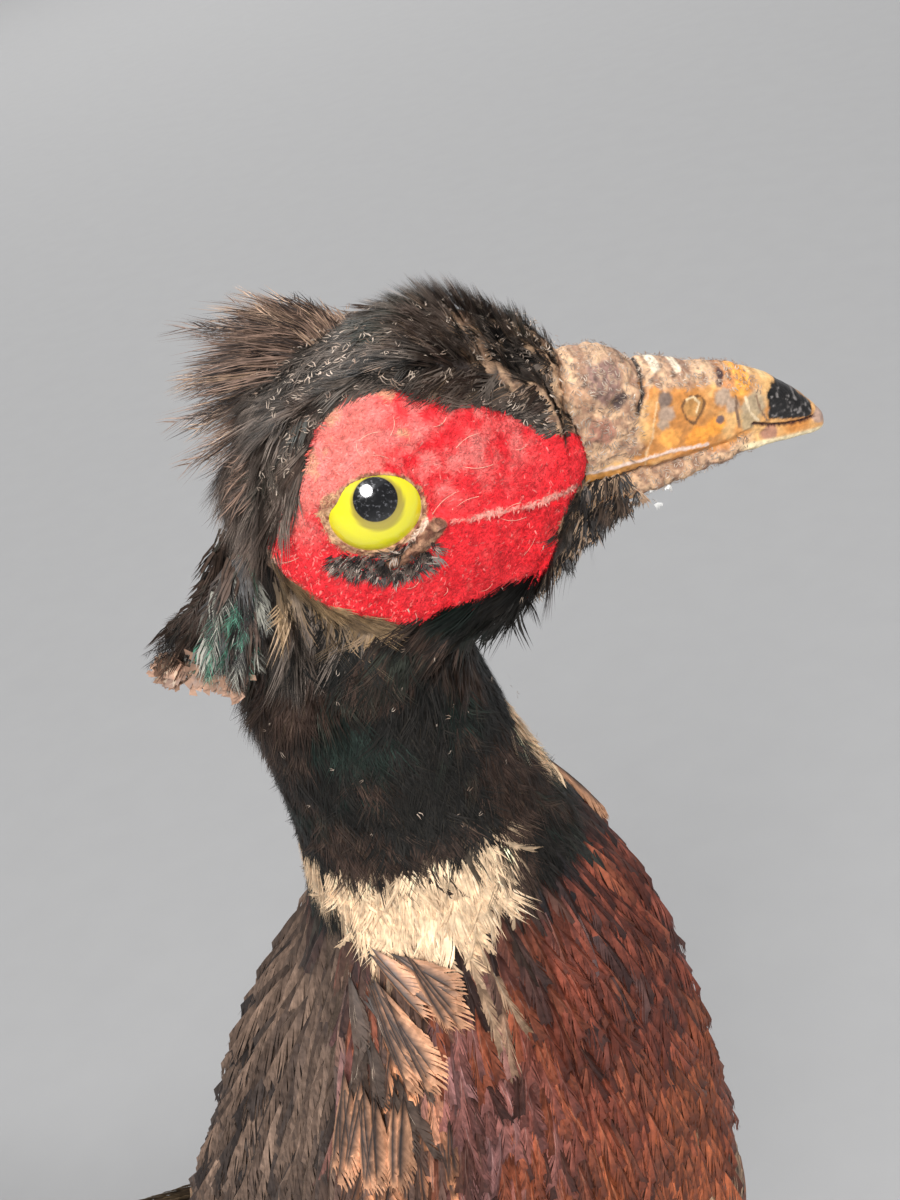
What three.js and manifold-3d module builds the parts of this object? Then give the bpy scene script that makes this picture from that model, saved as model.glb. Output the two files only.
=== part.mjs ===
// A life-size mounted cock pheasant standing on a plain wooden plinth, its head turned to its left.
// Millimetres. +X is the way the body faces, +Y its left side, +Z up. The origin is the centre of the
// plinth's underside. The solids follow the outside of the plumage, out to the tips of the feathers.
import * as THREE from "three";
import { mergeVertices } from "three/addons/utils/BufferGeometryUtils.js";
import Module from "manifold-3d";

const wasm = await Module();
wasm.setup();

// ---- Driving dimensions -------------------------------------------------------------------------

const GAP = 0.3; // clearance between neighbouring solids
const PLINTH = { long: 320, wide: 190, thick: 22, corner: 36, bevel: 4 };
const GROUND = PLINTH.thick; // height of the plinth's top, where the feet stand

const HEAD = { ahead: 66, height: 420, turn: 38, dip: 3 }; // centre between the eyes, and degrees
const EYE = { radius: 7, out: 10 };
const NECK_CUT = HEAD.height - 22; // where head and neck part
const BREAST_CUT = HEAD.height - 84; // where neck and trunk part
const RUMP_CUT = -92; // where trunk and rump part, along X

const TAIL = { pairs: 6, longest: 450, step: 58, root: [-126, 0, 155], droop: 9, blade: 0.6 };
const HIP_OUT = 33; // from the middle plane to each leg
const CLAW = { long: 11, thick: 1.9 };

// Stations of the trunk and neck, from the tail's root forward and up: the centre of each section as
// an offset from the head's centre, its half width, its depth over and under the centre (behind and
// before it on the upright neck), and how far it is turned with the head.
const BODY = [
  { at: "tail root", x: -212, y: 0, z: -272, wide: 9, over: 6, under: 7, turn: 0 },
  { at: "rump", x: -188, y: 0, z: -265, wide: 32, over: 22, under: 23, turn: 0 },
  { at: "pelvis", x: -153, y: 0, z: -254, wide: 48, over: 33, under: 41, turn: 0 },
  { at: "loin", x: -112, y: 0, z: -236, wide: 59, over: 43, under: 55, turn: 0 },
  { at: "back", x: -71, y: 0, z: -204, wide: 65, over: 49, under: 65, turn: 0 },
  { at: "shoulder", x: -38, y: 0, z: -158, wide: 58, over: 48, under: 60, turn: 2 },
  { at: "breast", x: -19, y: 0, z: -109, wide: 42, over: 38, under: 42, turn: 6 },
  { at: "neck root", x: -12, y: 1, z: -74, wide: 28, over: 23, under: 30, turn: 12 },
  { at: "ring", x: -10, y: 0, z: -54, wide: 19.2, over: 19.2, under: 20, turn: 19 },
  { at: "mid neck", x: -9, y: -3, z: -34, wide: 17.6, over: 18, under: 17.6, turn: 27 },
  { at: "neck top", x: -6, y: -4, z: -13, wide: 14.5, over: 16, under: 15, turn: 34 },
  { at: "skull", x: -4, y: -4, z: 0, wide: 8, over: 9, under: 8, turn: HEAD.turn },
];

// Sections of the head along its own axis: distance ahead of the eyes, half width, crown and chin.
const SKULL = [
  { ahead: -21.5, wide: 1, crown: 1, chin: 3 },
  { ahead: -18.5, wide: 8.5, crown: 9, chin: 12 },
  { ahead: -12, wide: 12.2, crown: 14.4, chin: 17.5 },
  { ahead: -3, wide: 13.4, crown: 17.4, chin: 20 },
  { ahead: 6, wide: 13.4, crown: 18.8, chin: 21.5 },
  { ahead: 13, wide: 12.3, crown: 18.7, chin: 21.5 },
  { ahead: 20, wide: 10, crown: 15.4, chin: 19 },
  { ahead: 26, wide: 7.9, crown: 9.8, chin: 15.5 },
  { ahead: 30, wide: 6.2, crown: 5.6, chin: 12.5 },
  { ahead: 33, wide: 4.8, crown: 2.4, chin: 9.5 },
];
const JOWL = 0.13; // how much squarer the head's lower half is than an ellipse

// Sections of the bill: the culmen, the line of the mouth and the keel, above or below the eyes.
const BILL_LINE = [
  { ahead: 24, wide: 7, culmen: 7.4, mouth: -10.8, keel: -13.8 },
  { ahead: 31, wide: 6.6, culmen: 5.2, mouth: -10.3, keel: -12.9 },
  { ahead: 37, wide: 5.8, culmen: 2.6, mouth: -9.8, keel: -12.2 },
  { ahead: 43, wide: 5, culmen: 1, mouth: -9.4, keel: -11.8 },
  { ahead: 48, wide: 4.2, culmen: -1.2, mouth: -9.4, keel: -11.7 },
  { ahead: 52, wide: 3.4, culmen: -3.9, mouth: -9.6, keel: -12 },
  { ahead: 55.5, wide: 2.5, culmen: -7.3, mouth: -10.1, keel: -12.4 },
  { ahead: 58, wide: 1.2, culmen: -10.2, mouth: -11.2, keel: -12.7 },
];

// The bare red face, as an outline ahead of and above the eye.
const WATTLE_LINE = [
  [2.1, 13.6], [7, 12.8], [11.4, 10.4], [17.5, 5.9], [20.7, 3.3], [24.7, 0.1], [26.7, -2.6], [25.2, -6],
  [21.4, -9.6], [19.6, -14.4], [17.6, -18], [12, -18.9], [3, -18], [-3.3, -14.6], [-7.4, -11.9],
  [-12.4, -7.6], [-13.8, -3.2], [-11.6, 1.6], [-7.6, 4.6], [-2.8, 10.8],
];
const WATTLE_THICK = 0.9;

// Loose tufts on the head: rows of [ahead, left, up, half breadth, half thickness] from the eyes.
const CREST = [
  [3, 3, 12, 3, 1.5], [-4, 3.5, 15.5, 6.5, 2.8], [-11, 4, 14.5, 9.6, 3.2], [-17, 4.5, 11.5, 10, 2.8],
  [-22, 5, 8.5, 6, 1.2],
];
const FLAPS = {
  left: [
    [-17, 6.5, -6, 1.8, 1.4], [-21, 7.5, -14, 3, 2], [-26.8, 8.5, -21, 4, 2.2], [-31.2, 9, -27.5, 3.2, 1.4],
  ],
  right: [
    [-16.8, -7, -4.5, 2.4, 1.6], [-19, -9, -9, 3.4, 2.2], [-21.2, -10, -13.8, 3.9, 2.2],
    [-24, -10.5, -18.4, 2.9, 1.4],
  ],
};

// ---- Materials ----------------------------------------------------------------------------------

const paint = (colour, roughness, metalness = 0) =>
  new THREE.MeshStandardMaterial({ color: colour, roughness, metalness });
const LOOKS = {
  dark_feather: paint(0x1d1b1a, 0.7),
  crest_feather: paint(0x5a473c, 0.8),
  chestnut_feather: paint(0x6b2f22, 0.7),
  wing_feather: paint(0x6e5b48, 0.8),
  tail_feather: paint(0x8a7350, 0.8),
  thigh_feather: paint(0x4d3a2b, 0.8),
  wattle: paint(0xd21f28, 0.9),
  horn: paint(0xb9793a, 0.5),
  leg_scale: paint(0x8c7f6a, 0.6),
  claw: paint(0x2e2823, 0.4),
  glass_eye: paint(0xe6d815, 0.1),
  plinth_wood: paint(0x5b3a22, 0.45),
};

// ---- Shapes -------------------------------------------------------------------------------------

/** A three.js geometry as a manifold-3d solid. */
function solid(geometry) {
  const bare = geometry.index ? geometry.toNonIndexed() : geometry.clone();
  for (const name of Object.keys(bare.attributes)) if (name !== "position") bare.deleteAttribute(name);
  const merged = mergeVertices(bare, 1e-4);
  const mesh = new wasm.Mesh({
    numProp: 3,
    vertProperties: merged.attributes.position.array,
    triVerts: new Uint32Array(merged.index.array),
  });
  return new wasm.Manifold(mesh);
}

/** A manifold-3d solid as a three.js geometry with flat faces. */
function geometryOf(made) {
  const mesh = made.getMesh();
  const places = new Float32Array(mesh.numVert * 3);
  for (let i = 0; i < mesh.numVert; i++) {
    places.set(mesh.vertProperties.subarray(i * mesh.numProp, i * mesh.numProp + 3), i * 3);
  }
  const geometry = new THREE.BufferGeometry();
  geometry.setAttribute("position", new THREE.BufferAttribute(places, 3));
  geometry.setIndex(new THREE.BufferAttribute(mesh.triVerts, 1));
  const flat = geometry.toNonIndexed();
  flat.computeVertexNormals();
  return flat;
}

/** Rings of equal count, closed with a point at each end, as one outward-facing geometry. */
function closeRings(rings, first, last) {
  const sides = rings[0].length;
  const points = [first, ...rings.flat(), last];
  const corner = (ring, i) => 1 + ring * sides + (i % sides);
  const end = points.length - 1;
  const faces = [];
  for (let i = 0; i < sides; i++) {
    faces.push(0, corner(0, i + 1), corner(0, i));
    for (let r = 0; r + 1 < rings.length; r++) {
      faces.push(corner(r, i), corner(r, i + 1), corner(r + 1, i + 1));
      faces.push(corner(r, i), corner(r + 1, i + 1), corner(r + 1, i));
    }
    faces.push(end, corner(rings.length - 1, i), corner(rings.length - 1, i + 1));
  }
  const volume = faces.reduce((sum, _, k) => {
    if (k % 3) return sum;
    const [a, b, c] = [points[faces[k]], points[faces[k + 1]], points[faces[k + 2]]];
    return sum + a.dot(new THREE.Vector3().crossVectors(b, c)) / 6;
  }, 0);
  const geometry = new THREE.BufferGeometry().setFromPoints(points);
  geometry.setIndex(volume < 0 ? faces.reverse() : faces);
  return geometry;
}

/** Sweeps a section along a curve. left(t) is its sideways direction, shape(t, angle) its [left, up]. */
function sweep(curve, left, shape, steps, sides) {
  const rings = [];
  for (let k = 1; k < steps; k++) {
    const t = (1 - Math.cos((Math.PI * k) / steps)) / 2;
    const centre = curve.getPoint(t);
    const along = curve.getTangent(t);
    const side = left(t).clone();
    side.addScaledVector(along, -side.dot(along)).normalize();
    const up = new THREE.Vector3().crossVectors(along, side);
    const ring = [];
    for (let i = 0; i < sides; i++) {
      const [l, u] = shape(t, (2 * Math.PI * i) / sides);
      ring.push(centre.clone().addScaledVector(side, l).addScaledVector(up, u));
    }
    rings.push(ring);
  }
  return closeRings(rings, curve.getPoint(0), curve.getPoint(1));
}

/** A smooth curve through rows of numbers, three at a time, read at t from 0 to 1. */
function through(rows) {
  return new THREE.CatmullRomCurve3(rows.map((row) => new THREE.Vector3(...row)), false, "catmullrom", 0.5);
}

/** An egg-shaped section: half width, depth over and under the centre. */
function egg(sizes, angle, grow = 0) {
  const rise = Math.sin(angle);
  return [Math.cos(angle) * (sizes.x + grow), rise * ((rise > 0 ? sizes.y : sizes.z) + grow)];
}

/** A tapering round limb through rows of [x, y, z, radius]. */
function limb(rows, steps, sides, grow = 0) {
  const path = through(rows.map(([x, y, z]) => [x, y, z]));
  const thick = through(rows.map((row) => [row[3], 0, 0]));
  const aside = new THREE.Vector3(0.05, 1, 0.03);
  const shape = (t, angle) => {
    const radius = thick.getPoint(t).x + grow;
    return [Math.cos(angle) * radius, Math.sin(angle) * radius];
  };
  return solid(sweep(path, () => aside, shape, steps, sides));
}

/** The part of a solid on the side of a plane that the normal points to. */
const keep = (made, normal, distance) => made.trimByPlane(normal, distance);

const mirrored = (rows) => rows.map(([x, y, ...rest]) => [x, -y, ...rest]);

// ---- Trunk and neck -----------------------------------------------------------------------------

function bodyShape(grow = 0) {
  const path = through(BODY.map((s) => [HEAD.ahead + s.x, s.y, HEAD.height + s.z]));
  const sizes = through(BODY.map((s) => [s.wide, s.over, s.under]));
  const turns = through(BODY.map((s) => [s.turn, 0, 0]));
  const left = (t) => {
    const turn = THREE.MathUtils.degToRad(turns.getPoint(t).x);
    return new THREE.Vector3(-Math.sin(turn), Math.cos(turn), 0);
  };
  return solid(sweep(path, left, (t, angle) => egg(sizes.getPoint(t), angle, grow), 22, 16));
}

// ---- Head ---------------------------------------------------------------------------------------

const headFrame = new THREE.Matrix4()
  .makeTranslation(HEAD.ahead, 0, HEAD.height)
  .multiply(new THREE.Matrix4().makeRotationZ(THREE.MathUtils.degToRad(HEAD.turn)))
  .multiply(new THREE.Matrix4().makeRotationY(THREE.MathUtils.degToRad(HEAD.dip)));
const onHead = (geometry) => solid(geometry.applyMatrix4(headFrame));
const LEFT = new THREE.Vector3(0, 1, 0);

function skullShape(grow = 0) {
  const first = SKULL[0].ahead - grow;
  const path = through(SKULL.map((s, i) => [i ? s.ahead : first, 0, 0]));
  const sizes = through(SKULL.map((s) => [s.wide, s.crown, s.chin]));
  const shape = (t, angle) => {
    const [side, up] = egg(sizes.getPoint(t), angle, grow);
    const squarer = up < 0 ? 1 + JOWL * Math.abs(Math.sin(2 * angle)) : 1;
    return [side * squarer, up * squarer];
  };
  return onHead(sweep(path, () => LEFT, shape, 14, 18));
}

/** One mandible, between two of the bill's lines. */
function mandible(top, bottom, slim, grow = 0) {
  const rows = BILL_LINE.map((s) => {
    const [high, low] = [s[top], s[bottom]];
    return { ahead: s.ahead, middle: (high + low) / 2, half: (high - low) / 2, wide: s.wide * slim };
  });
  const path = through(rows.map((r) => [r.ahead, 0, r.middle]));
  const sizes = through(rows.map((r) => [r.wide, r.half, r.half]));
  const shape = (t, angle) => {
    const [side, up] = egg(sizes.getPoint(t), angle, grow);
    const squarer = 1 + 0.16 * Math.abs(Math.sin(2 * angle));
    return [side * squarer, up * squarer];
  };
  return onHead(sweep(path, () => LEFT, shape, 10, 10));
}

function eyeShape(side, grow = 0) {
  const ball = new THREE.SphereGeometry(EYE.radius + grow, 12, 8);
  return onHead(ball.translate(0, side * EYE.out, 0));
}

function wattleShape(side, skull) {
  const curve = new THREE.SplineCurve(WATTLE_LINE.map(([x, y]) => new THREE.Vector2(x, y)));
  const outline = new THREE.Shape(curve.getPoints(WATTLE_LINE.length - 1));
  const block = new THREE.ExtrudeGeometry(outline, { depth: 24, bevelEnabled: false });
  block.rotateX(Math.PI / 2); // the outline stands in the middle plane, and the block grows to the right
  if (side > 0) block.translate(0, 24, 0);
  return onHead(block)
    .intersect(skullShape(GAP + WATTLE_THICK))
    .subtract(skull);
}

/** A loose tuft of feathers: a flat tapering fan through rows of [ahead, left, up, breadth, thickness]. */
function tuft(rows, face) {
  const path = through(rows.map(([a, b, c]) => [a, b, c]));
  const sizes = through(rows.map((row) => [row[3], row[4], row[4]]));
  return onHead(sweep(path, () => face, (t, angle) => egg(sizes.getPoint(t), angle), 8, 10));
}

// ---- Wings --------------------------------------------------------------------------------------

// The folded wing, from the wrist back to the tips: centre as an offset from the head's centre, half
// thickness, half height over and under.
const WING = [
  { x: -54, y: 45, z: -172, thick: 2, over: 6, under: 6 },
  { x: -63, y: 50, z: -182, thick: 5, over: 20, under: 21 },
  { x: -85, y: 54, z: -204, thick: 7, over: 31, under: 31 },
  { x: -113, y: 52, z: -227, thick: 7, over: 32, under: 31 },
  { x: -146, y: 44, z: -244, thick: 6, over: 25, under: 24 },
  { x: -180, y: 32, z: -252, thick: 5, over: 17, under: 16 },
  { x: -212, y: 21, z: -259, thick: 3.4, over: 8.5, under: 8.5 },
  { x: -238, y: 15, z: -265, thick: 1.2, over: 3, under: 3 },
];
const WING_CURL = 0.0105; // how fast the wing bends round the body, per mm of height

function wingShape(side, grow = 0) {
  const path = through(WING.map((s) => [HEAD.ahead + s.x, side * s.y, HEAD.height + s.z]));
  const sizes = through(WING.map((s) => [s.thick, s.over, s.under]));
  const out = new THREE.Vector3(0.12, side, 0.16);
  const shape = (t, angle) => {
    const [l, u] = egg(sizes.getPoint(t), angle, grow);
    return [l - WING_CURL * u * u, u];
  };
  return solid(sweep(path, () => out, shape, 14, 12));
}

// ---- Tail ---------------------------------------------------------------------------------------

/** One tail feather: a thin roof-shaped blade that narrows to its tip. */
function tailFeather(length, breadth, aside, lift, spread) {
  const [x, y, z] = TAIL.root;
  const slope = THREE.MathUtils.degToRad(TAIL.droop);
  const swing = THREE.MathUtils.degToRad(spread);
  const at = (share) => {
    const run = length * share;
    const sag = 18 * share * share;
    const back = run * Math.cos(slope) * Math.cos(swing);
    return [x - back, y + aside + run * Math.sin(swing), z + lift - run * Math.sin(slope) - sag];
  };
  const path = through([0, 0.25, 0.5, 0.75, 1].map(at));
  const shape = (t, angle) => {
    const taper = Math.sqrt(Math.max(0, 1 - t ** 3)) * (0.45 + 0.55 * Math.min(1, 6 * t)) * (1 - 0.35 * t);
    const across = Math.cos(angle) * breadth * taper;
    const roof = -0.16 * Math.abs(across);
    return [across, roof + Math.sin(angle) * TAIL.blade];
  };
  return solid(sweep(path, () => LEFT, shape, 5, 6));
}

function tailShape() {
  const feathers = [];
  for (let pair = 0; pair < TAIL.pairs; pair++) {
    const length = TAIL.longest - TAIL.step * pair;
    const breadth = 13.5 - 0.5 * pair;
    for (const side of [1, -1]) {
      feathers.push(tailFeather(length, breadth, side * (3 + pair), -0.5 * pair, side * (0.4 + 1.15 * pair)));
    }
  }
  return feathers.reduce((all, one) => all.add(one));
}

// ---- Legs ---------------------------------------------------------------------------------------

// The left leg, with heights above the plinth's top: feathered thigh, bare shank, and the toes' root.
const THIGH = [
  [-8, 33, 150, 18], [-14, 35, 138, 24], [-25, 35, 118, 21], [-34, 34, 100, 14], [-41, 33, 85, 8], [-43, 33, 79, 4],
];
const SHANK = [
  [-43, 33, 84, 3], [-43, 33, 79, 5.4], [-40, 33, 72, 4.6], [-33, 33, 52, 3.8], [-25, 33, 30, 3.8],
  [-20, 33, 14, 4.8], [-17, 33, 6, 3.6], [-16, 33, 3.4, 2],
];
const FOOT = { x: -17, up: 5.2 };
const TOES = [
  { name: "inner", bearing: -28, long: 33, thick: 3.3 },
  { name: "middle", bearing: 2, long: 44, thick: 3.6 },
  { name: "outer", bearing: 32, long: 35, thick: 3.3 },
  { name: "hind", bearing: 172, long: 14, thick: 2.5 },
];
const SPUR = [[-28, 30, 38, 3.4], [-33, 28.6, 38, 2.6], [-40, 27, 41, 1.2], [-43, 26.4, 43, 0.4]];

const raised = (rows) => rows.map(([x, y, z, r]) => [x, y, z + GROUND, r]);
const onSide = (rows, side) => (side > 0 ? rows : mirrored(rows));

/** A toe's own line from the foot's middle, turned to its bearing, as rows of [x, y, z, radius]. */
function toeLine(toe, side, rows) {
  const bearing = THREE.MathUtils.degToRad(toe.bearing);
  return rows.map(([run, up, r]) => [
    FOOT.x + run * Math.cos(bearing),
    side * (HIP_OUT + run * Math.sin(bearing)),
    GROUND + up,
    r,
  ]);
}

function toeShape(toe, side, grow = 0) {
  const { long, thick } = toe;
  const flat = thick + GAP;
  const rows = [
    [-2, FOOT.up, 2.2], [long * 0.12, FOOT.up, thick], [long * 0.45, flat + 0.5, thick],
    [long * 0.7, flat, thick * 0.86],
    [long * 0.92, flat, thick * 0.8], [long, flat, thick * 0.5],
  ];
  return limb(toeLine(toe, side, rows), 6, 6, grow);
}

function clawShape(toe, side) {
  const { long, thick } = toe;
  const root = long * 0.93;
  const flat = thick + GAP;
  const rows = [
    [root, flat + 0.6, 1.2], [root + CLAW.long * 0.3, flat + 1.4, CLAW.thick],
    [root + CLAW.long * 0.7, flat + 0.2, CLAW.thick * 0.62], [root + CLAW.long, GAP + 0.9, 0.5],
  ];
  return limb(toeLine(toe, side, rows), 5, 6);
}

// ---- Plinth -------------------------------------------------------------------------------------

function plinthShape() {
  const { long, wide, thick, corner, bevel } = PLINTH;
  const [x, y] = [long / 2 - bevel, wide / 2 - bevel];
  const outline = new THREE.Shape();
  outline.moveTo(-x + corner, -y);
  for (const [cx, cy, start] of [[x, -y, -90], [x, y, 0], [-x, y, 90], [-x, -y, 180]]) {
    const centre = [cx - Math.sign(cx) * corner, cy - Math.sign(cy) * corner];
    const from = THREE.MathUtils.degToRad(start);
    outline.absarc(...centre, corner, from, from + Math.PI / 2, false);
  }
  outline.closePath();
  const board = new THREE.ExtrudeGeometry(outline, {
    depth: thick - 2 * bevel, bevelThickness: bevel, bevelSize: bevel, bevelSegments: 2, curveSegments: 3,
  });
  return solid(board.translate(0, 0, bevel));
}

// ---- The bird -----------------------------------------------------------------------------------

const bird = new THREE.Group();

function put(name, made, look) {
  const mesh = new THREE.Mesh(geometryOf(made), LOOKS[look]);
  mesh.name = name;
  bird.add(mesh);
}

const UP = [0, 0, 1];
const DOWN = [0, 0, -1];
const AHEAD = [1, 0, 0];
const BEHIND = [-1, 0, 0];
const SIDES = [["left", 1], ["right", -1]];

const body = bodyShape();
const bodyRoom = bodyShape(GAP);
const flesh = body.add(skullShape());
const fleshRoom = bodyRoom.add(skullShape(GAP));
const upperRoom = mandible("culmen", "mouth", 1, GAP);
const lowerRoom = mandible("mouth", "keel", 0.86, GAP);

let head = keep(flesh, UP, NECK_CUT + GAP).subtract(upperRoom).subtract(lowerRoom);
for (const [, side] of SIDES) head = head.subtract(eyeShape(side, GAP));
put("head", head, "dark_feather");
put("bill_upper", mandible("culmen", "mouth", 1), "horn");
put("bill_lower", mandible("mouth", "keel", 0.86).subtract(upperRoom), "horn");

put("crest_tuft", tuft(CREST, new THREE.Vector3(0.3, -0.2, 1)).subtract(fleshRoom), "crest_feather");

for (const [name, side] of SIDES) {
  put(`eye_${name}`, eyeShape(side), "glass_eye");
  const rooms = fleshRoom.add(eyeShape(side, GAP)).add(upperRoom).add(lowerRoom);
  put(`wattle_${name}`, wattleShape(side, rooms), "wattle");
  const flap = tuft(FLAPS[name], new THREE.Vector3(0.9, side * 0.4, 0.3));
  put(`flap_${name}`, flap.subtract(fleshRoom), "dark_feather");
}

const wingRoom = wingShape(1, GAP).add(wingShape(-1, GAP));
const tail = tailShape();
put("neck", keep(keep(flesh, DOWN, -NECK_CUT), UP, BREAST_CUT + GAP).subtract(wingRoom), "dark_feather");
const lower = keep(body, DOWN, -BREAST_CUT).subtract(wingRoom);
put("trunk", keep(lower, AHEAD, RUMP_CUT + GAP), "chestnut_feather");
put("rump", keep(lower, BEHIND, -RUMP_CUT), "chestnut_feather");
put("tail", tail.subtract(bodyRoom).subtract(wingRoom), "tail_feather");

for (const [name, side] of SIDES) {
  put(`wing_${name}`, wingShape(side), "wing_feather");
  const shank = limb(raised(onSide(SHANK, side)), 10, 8);
  const shankRoom = limb(raised(onSide(SHANK, side)), 10, 8, GAP);
  const thigh = limb(raised(onSide(THIGH, side)), 10, 12).subtract(bodyRoom).subtract(wingRoom);
  put(`thigh_${name}`, thigh.subtract(shankRoom), "thigh_feather");
  put(`shank_${name}`, shank, "leg_scale");
  put(`spur_${name}`, limb(raised(onSide(SPUR, side)), 5, 6).subtract(shankRoom), "claw");
  const toes = TOES.map((toe) => toeShape(toe, side));
  put(`foot_${name}`, toes.reduce((all, one) => all.add(one)).subtract(shankRoom), "leg_scale");
  for (const toe of TOES) {
    const claw = clawShape(toe, side).subtract(toeShape(toe, side, GAP));
    put(`claw_${name}_${toe.name}`, claw, "claw");
  }
}

put("stand_base", plinthShape(), "plinth_wood");

export default bird;
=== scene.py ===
"""A mounted cock ring-necked pheasant on its plinth: its surfaces, feathers and lamps, round the frame.

Lengths are in millimetres in the model's frame until a mesh is made, and points are rows of numpy arrays.
The head has a frame of its own: ahead to the bill, to the bird's left, and up, from between the eyes.
"""

import itertools
import math

import bmesh
import bpy
import numpy as np
from mathutils import Matrix, Vector
from mathutils.bvhtree import BVHTree

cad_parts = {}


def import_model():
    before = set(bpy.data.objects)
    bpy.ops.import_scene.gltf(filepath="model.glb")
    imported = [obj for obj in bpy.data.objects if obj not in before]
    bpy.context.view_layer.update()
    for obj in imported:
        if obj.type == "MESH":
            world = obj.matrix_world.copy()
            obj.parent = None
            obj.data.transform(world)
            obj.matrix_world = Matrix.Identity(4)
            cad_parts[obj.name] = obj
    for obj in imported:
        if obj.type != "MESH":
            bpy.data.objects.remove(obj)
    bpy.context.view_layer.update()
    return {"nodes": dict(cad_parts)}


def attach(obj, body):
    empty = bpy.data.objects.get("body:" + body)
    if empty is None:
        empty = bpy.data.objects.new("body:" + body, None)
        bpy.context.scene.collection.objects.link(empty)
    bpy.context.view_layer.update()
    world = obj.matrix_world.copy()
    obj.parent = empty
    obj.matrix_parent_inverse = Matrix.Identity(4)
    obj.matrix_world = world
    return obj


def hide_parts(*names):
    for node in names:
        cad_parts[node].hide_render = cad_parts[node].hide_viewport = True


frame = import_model()

MM = 0.001

# ---- Sizes and places ----------------------------------------------------------------------------

HEAD_AT = np.array((66.0, 0.0, 420.0))  # between the eyes
HEAD_TURN, HEAD_DIP = 38, 3  # degrees, to the bird's left and down
NECK_X = 56.0  # where the neck stands
MANTLE_EDGE = 72  # degrees round the neck from straight ahead

EYE_RADIUS, EYE_OUT = 7.0, 10.0
EYE_OPENING = (5.6, 4.8)  # half the opening between the lids, along and up the head
GAZE = (0.06, 0.94, 0.33)  # the pupil's direction: ahead, out, up

# The bare red face: ahead and up, round its edge.
FACE_EDGE = (
    (2.1, 13.6), (7, 12.8), (11.4, 10.4), (17.5, 5.9), (20.7, 3.3), (24.7, 0.1), (26.7, -2.6), (25.2, -6),
    (21.4, -9.6), (19.6, -14.4), (17.6, -18), (12, -18.9), (3, -18), (-3.3, -14.6), (-7.4, -11.9),
    (-12.4, -7.6), (-13.8, -3.2), (-11.6, 1.6), (-7.6, 4.6), (-2.8, 10.8),
)

# The middle of the body from the bill's root to the tail's, as offsets from the head's middle.
SPINE = (
    (24, 19, -3), (6, 5, 0), (-5, -3, -6), (-9, -3, -34), (-10, 0, -54), (-12, 1, -74), (-19, 0, -109),
    (-38, 0, -158), (-71, 0, -204), (-112, 0, -236), (-153, 0, -254), (-188, 0, -265), (-250, 0, -280),
)
# Heights from the head's middle.
HEAD_END, RING_TOP, RING_FOOT, BREAST_END = -16.0, -50.5, -62.0, -128.0
LEG_TOP = 104.0  # where the scales start, above the floor

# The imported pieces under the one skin, and how far inside each the skin lies.
FLESH = (
    "head", "wattle_left", "wattle_right", "neck", "trunk", "rump", "wing_left", "wing_right",
    "thigh_left", "thigh_right", "shank_left", "shank_right", "foot_left", "foot_right",
)
COAT_DEPTH = {"head": 1.0, "neck": 2.2, "rump": 4.5, "wing": 2.6, "thigh": 3.5}
TRUNK_DEEPER = 1.8  # than the neck's depth, from the shoulders down
SKIN_VOXEL, SKIN_ROUNDS = 1.5, 14  # the remesh's grain, and how often it is smoothed
DARK = np.array((0.011, 0.0095, 0.0085))  # the black of the head and neck
STREAK_AND_GLINT = (0.21, 0.165, 0.135)  # what a pale barb adds to its colour: partly worn, dusty strands, partly painted glints
PATCH = 0.003  # each feather's size on its map


# ---- Arithmetic ----------------------------------------------------------------------------------


def unit(v):
    return v / np.maximum(np.linalg.norm(v, axis=-1, keepdims=True), 1e-9)


def dot(u, v):
    return (u * v).sum(-1, keepdims=True)


def square(v, to):
    """The directions of v, turned until they are square to others."""
    return unit(v - dot(v, to) * to)


def ramp(low, high, x):
    """0 below low, 1 above high and a smooth rise between."""
    t = np.clip((x - low) / (high - low), 0, 1)
    return t * t * (3 - 2 * t)


def mix(u, v, share):
    """Rows of u and v, or plain colours, in these shares."""
    share = np.asarray(share)[..., None]
    return np.asarray(u) * (1 - share) + np.asarray(v) * share


def turned(axis, degrees):
    """The matrix of a turn about X, Y or Z."""
    return np.array(Matrix.Rotation(math.radians(degrees), 3, axis))


HEAD_AXES = turned("Z", HEAD_TURN) @ turned("Y", HEAD_DIP)  # columns: ahead, left, up


def to_head(points):
    return (points - HEAD_AT) @ HEAD_AXES


def from_head(points):
    return np.asarray(points) @ HEAD_AXES.T + HEAD_AT


def spot_value(cell, seed):
    """A fixed random number for each whole-numbered cell."""
    x, y, z = np.moveaxis(cell.astype(np.int64), -1, 0)
    mixed = x * 73856093 ^ y * 19349663 ^ z * 83492791 ^ (seed * 40503 + 977)
    mixed = (mixed ^ (mixed >> 13)) * 1274126177 & 0x7FFFFFFF
    return (mixed ^ (mixed >> 15)) % 65536 / 65536


def noise(points, size, seed):
    """Smooth noise from 0 to 1 with lumps of this size."""
    place = points / size + 1000
    cell = np.floor(place)
    near = place - cell
    near = near * near * (3 - 2 * near)
    total = 0
    for corner in itertools.product((0, 1), repeat=3):
        weight = np.prod(np.where(corner, near, 1 - near), axis=-1)
        total = total + weight * spot_value(cell + corner, seed)
    return total


def rough(points, size, seed):
    """Noise with finer and finer lumps."""
    fine = noise(points, size / 2.1, seed + 1) * 2 + noise(points, size / 4.3, seed + 2)
    return (noise(points, size, seed) * 4 + fine) / 7


def wobble(points, size, seed):
    """Lumpy noise from -0.5 to 0.5."""
    return rough(points, size, seed) - 0.5


def patchy(points, size, seed):
    """Lumpy noise with clearer lights and darks."""
    return ramp(0.3, 0.7, rough(points, size, seed))


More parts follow.
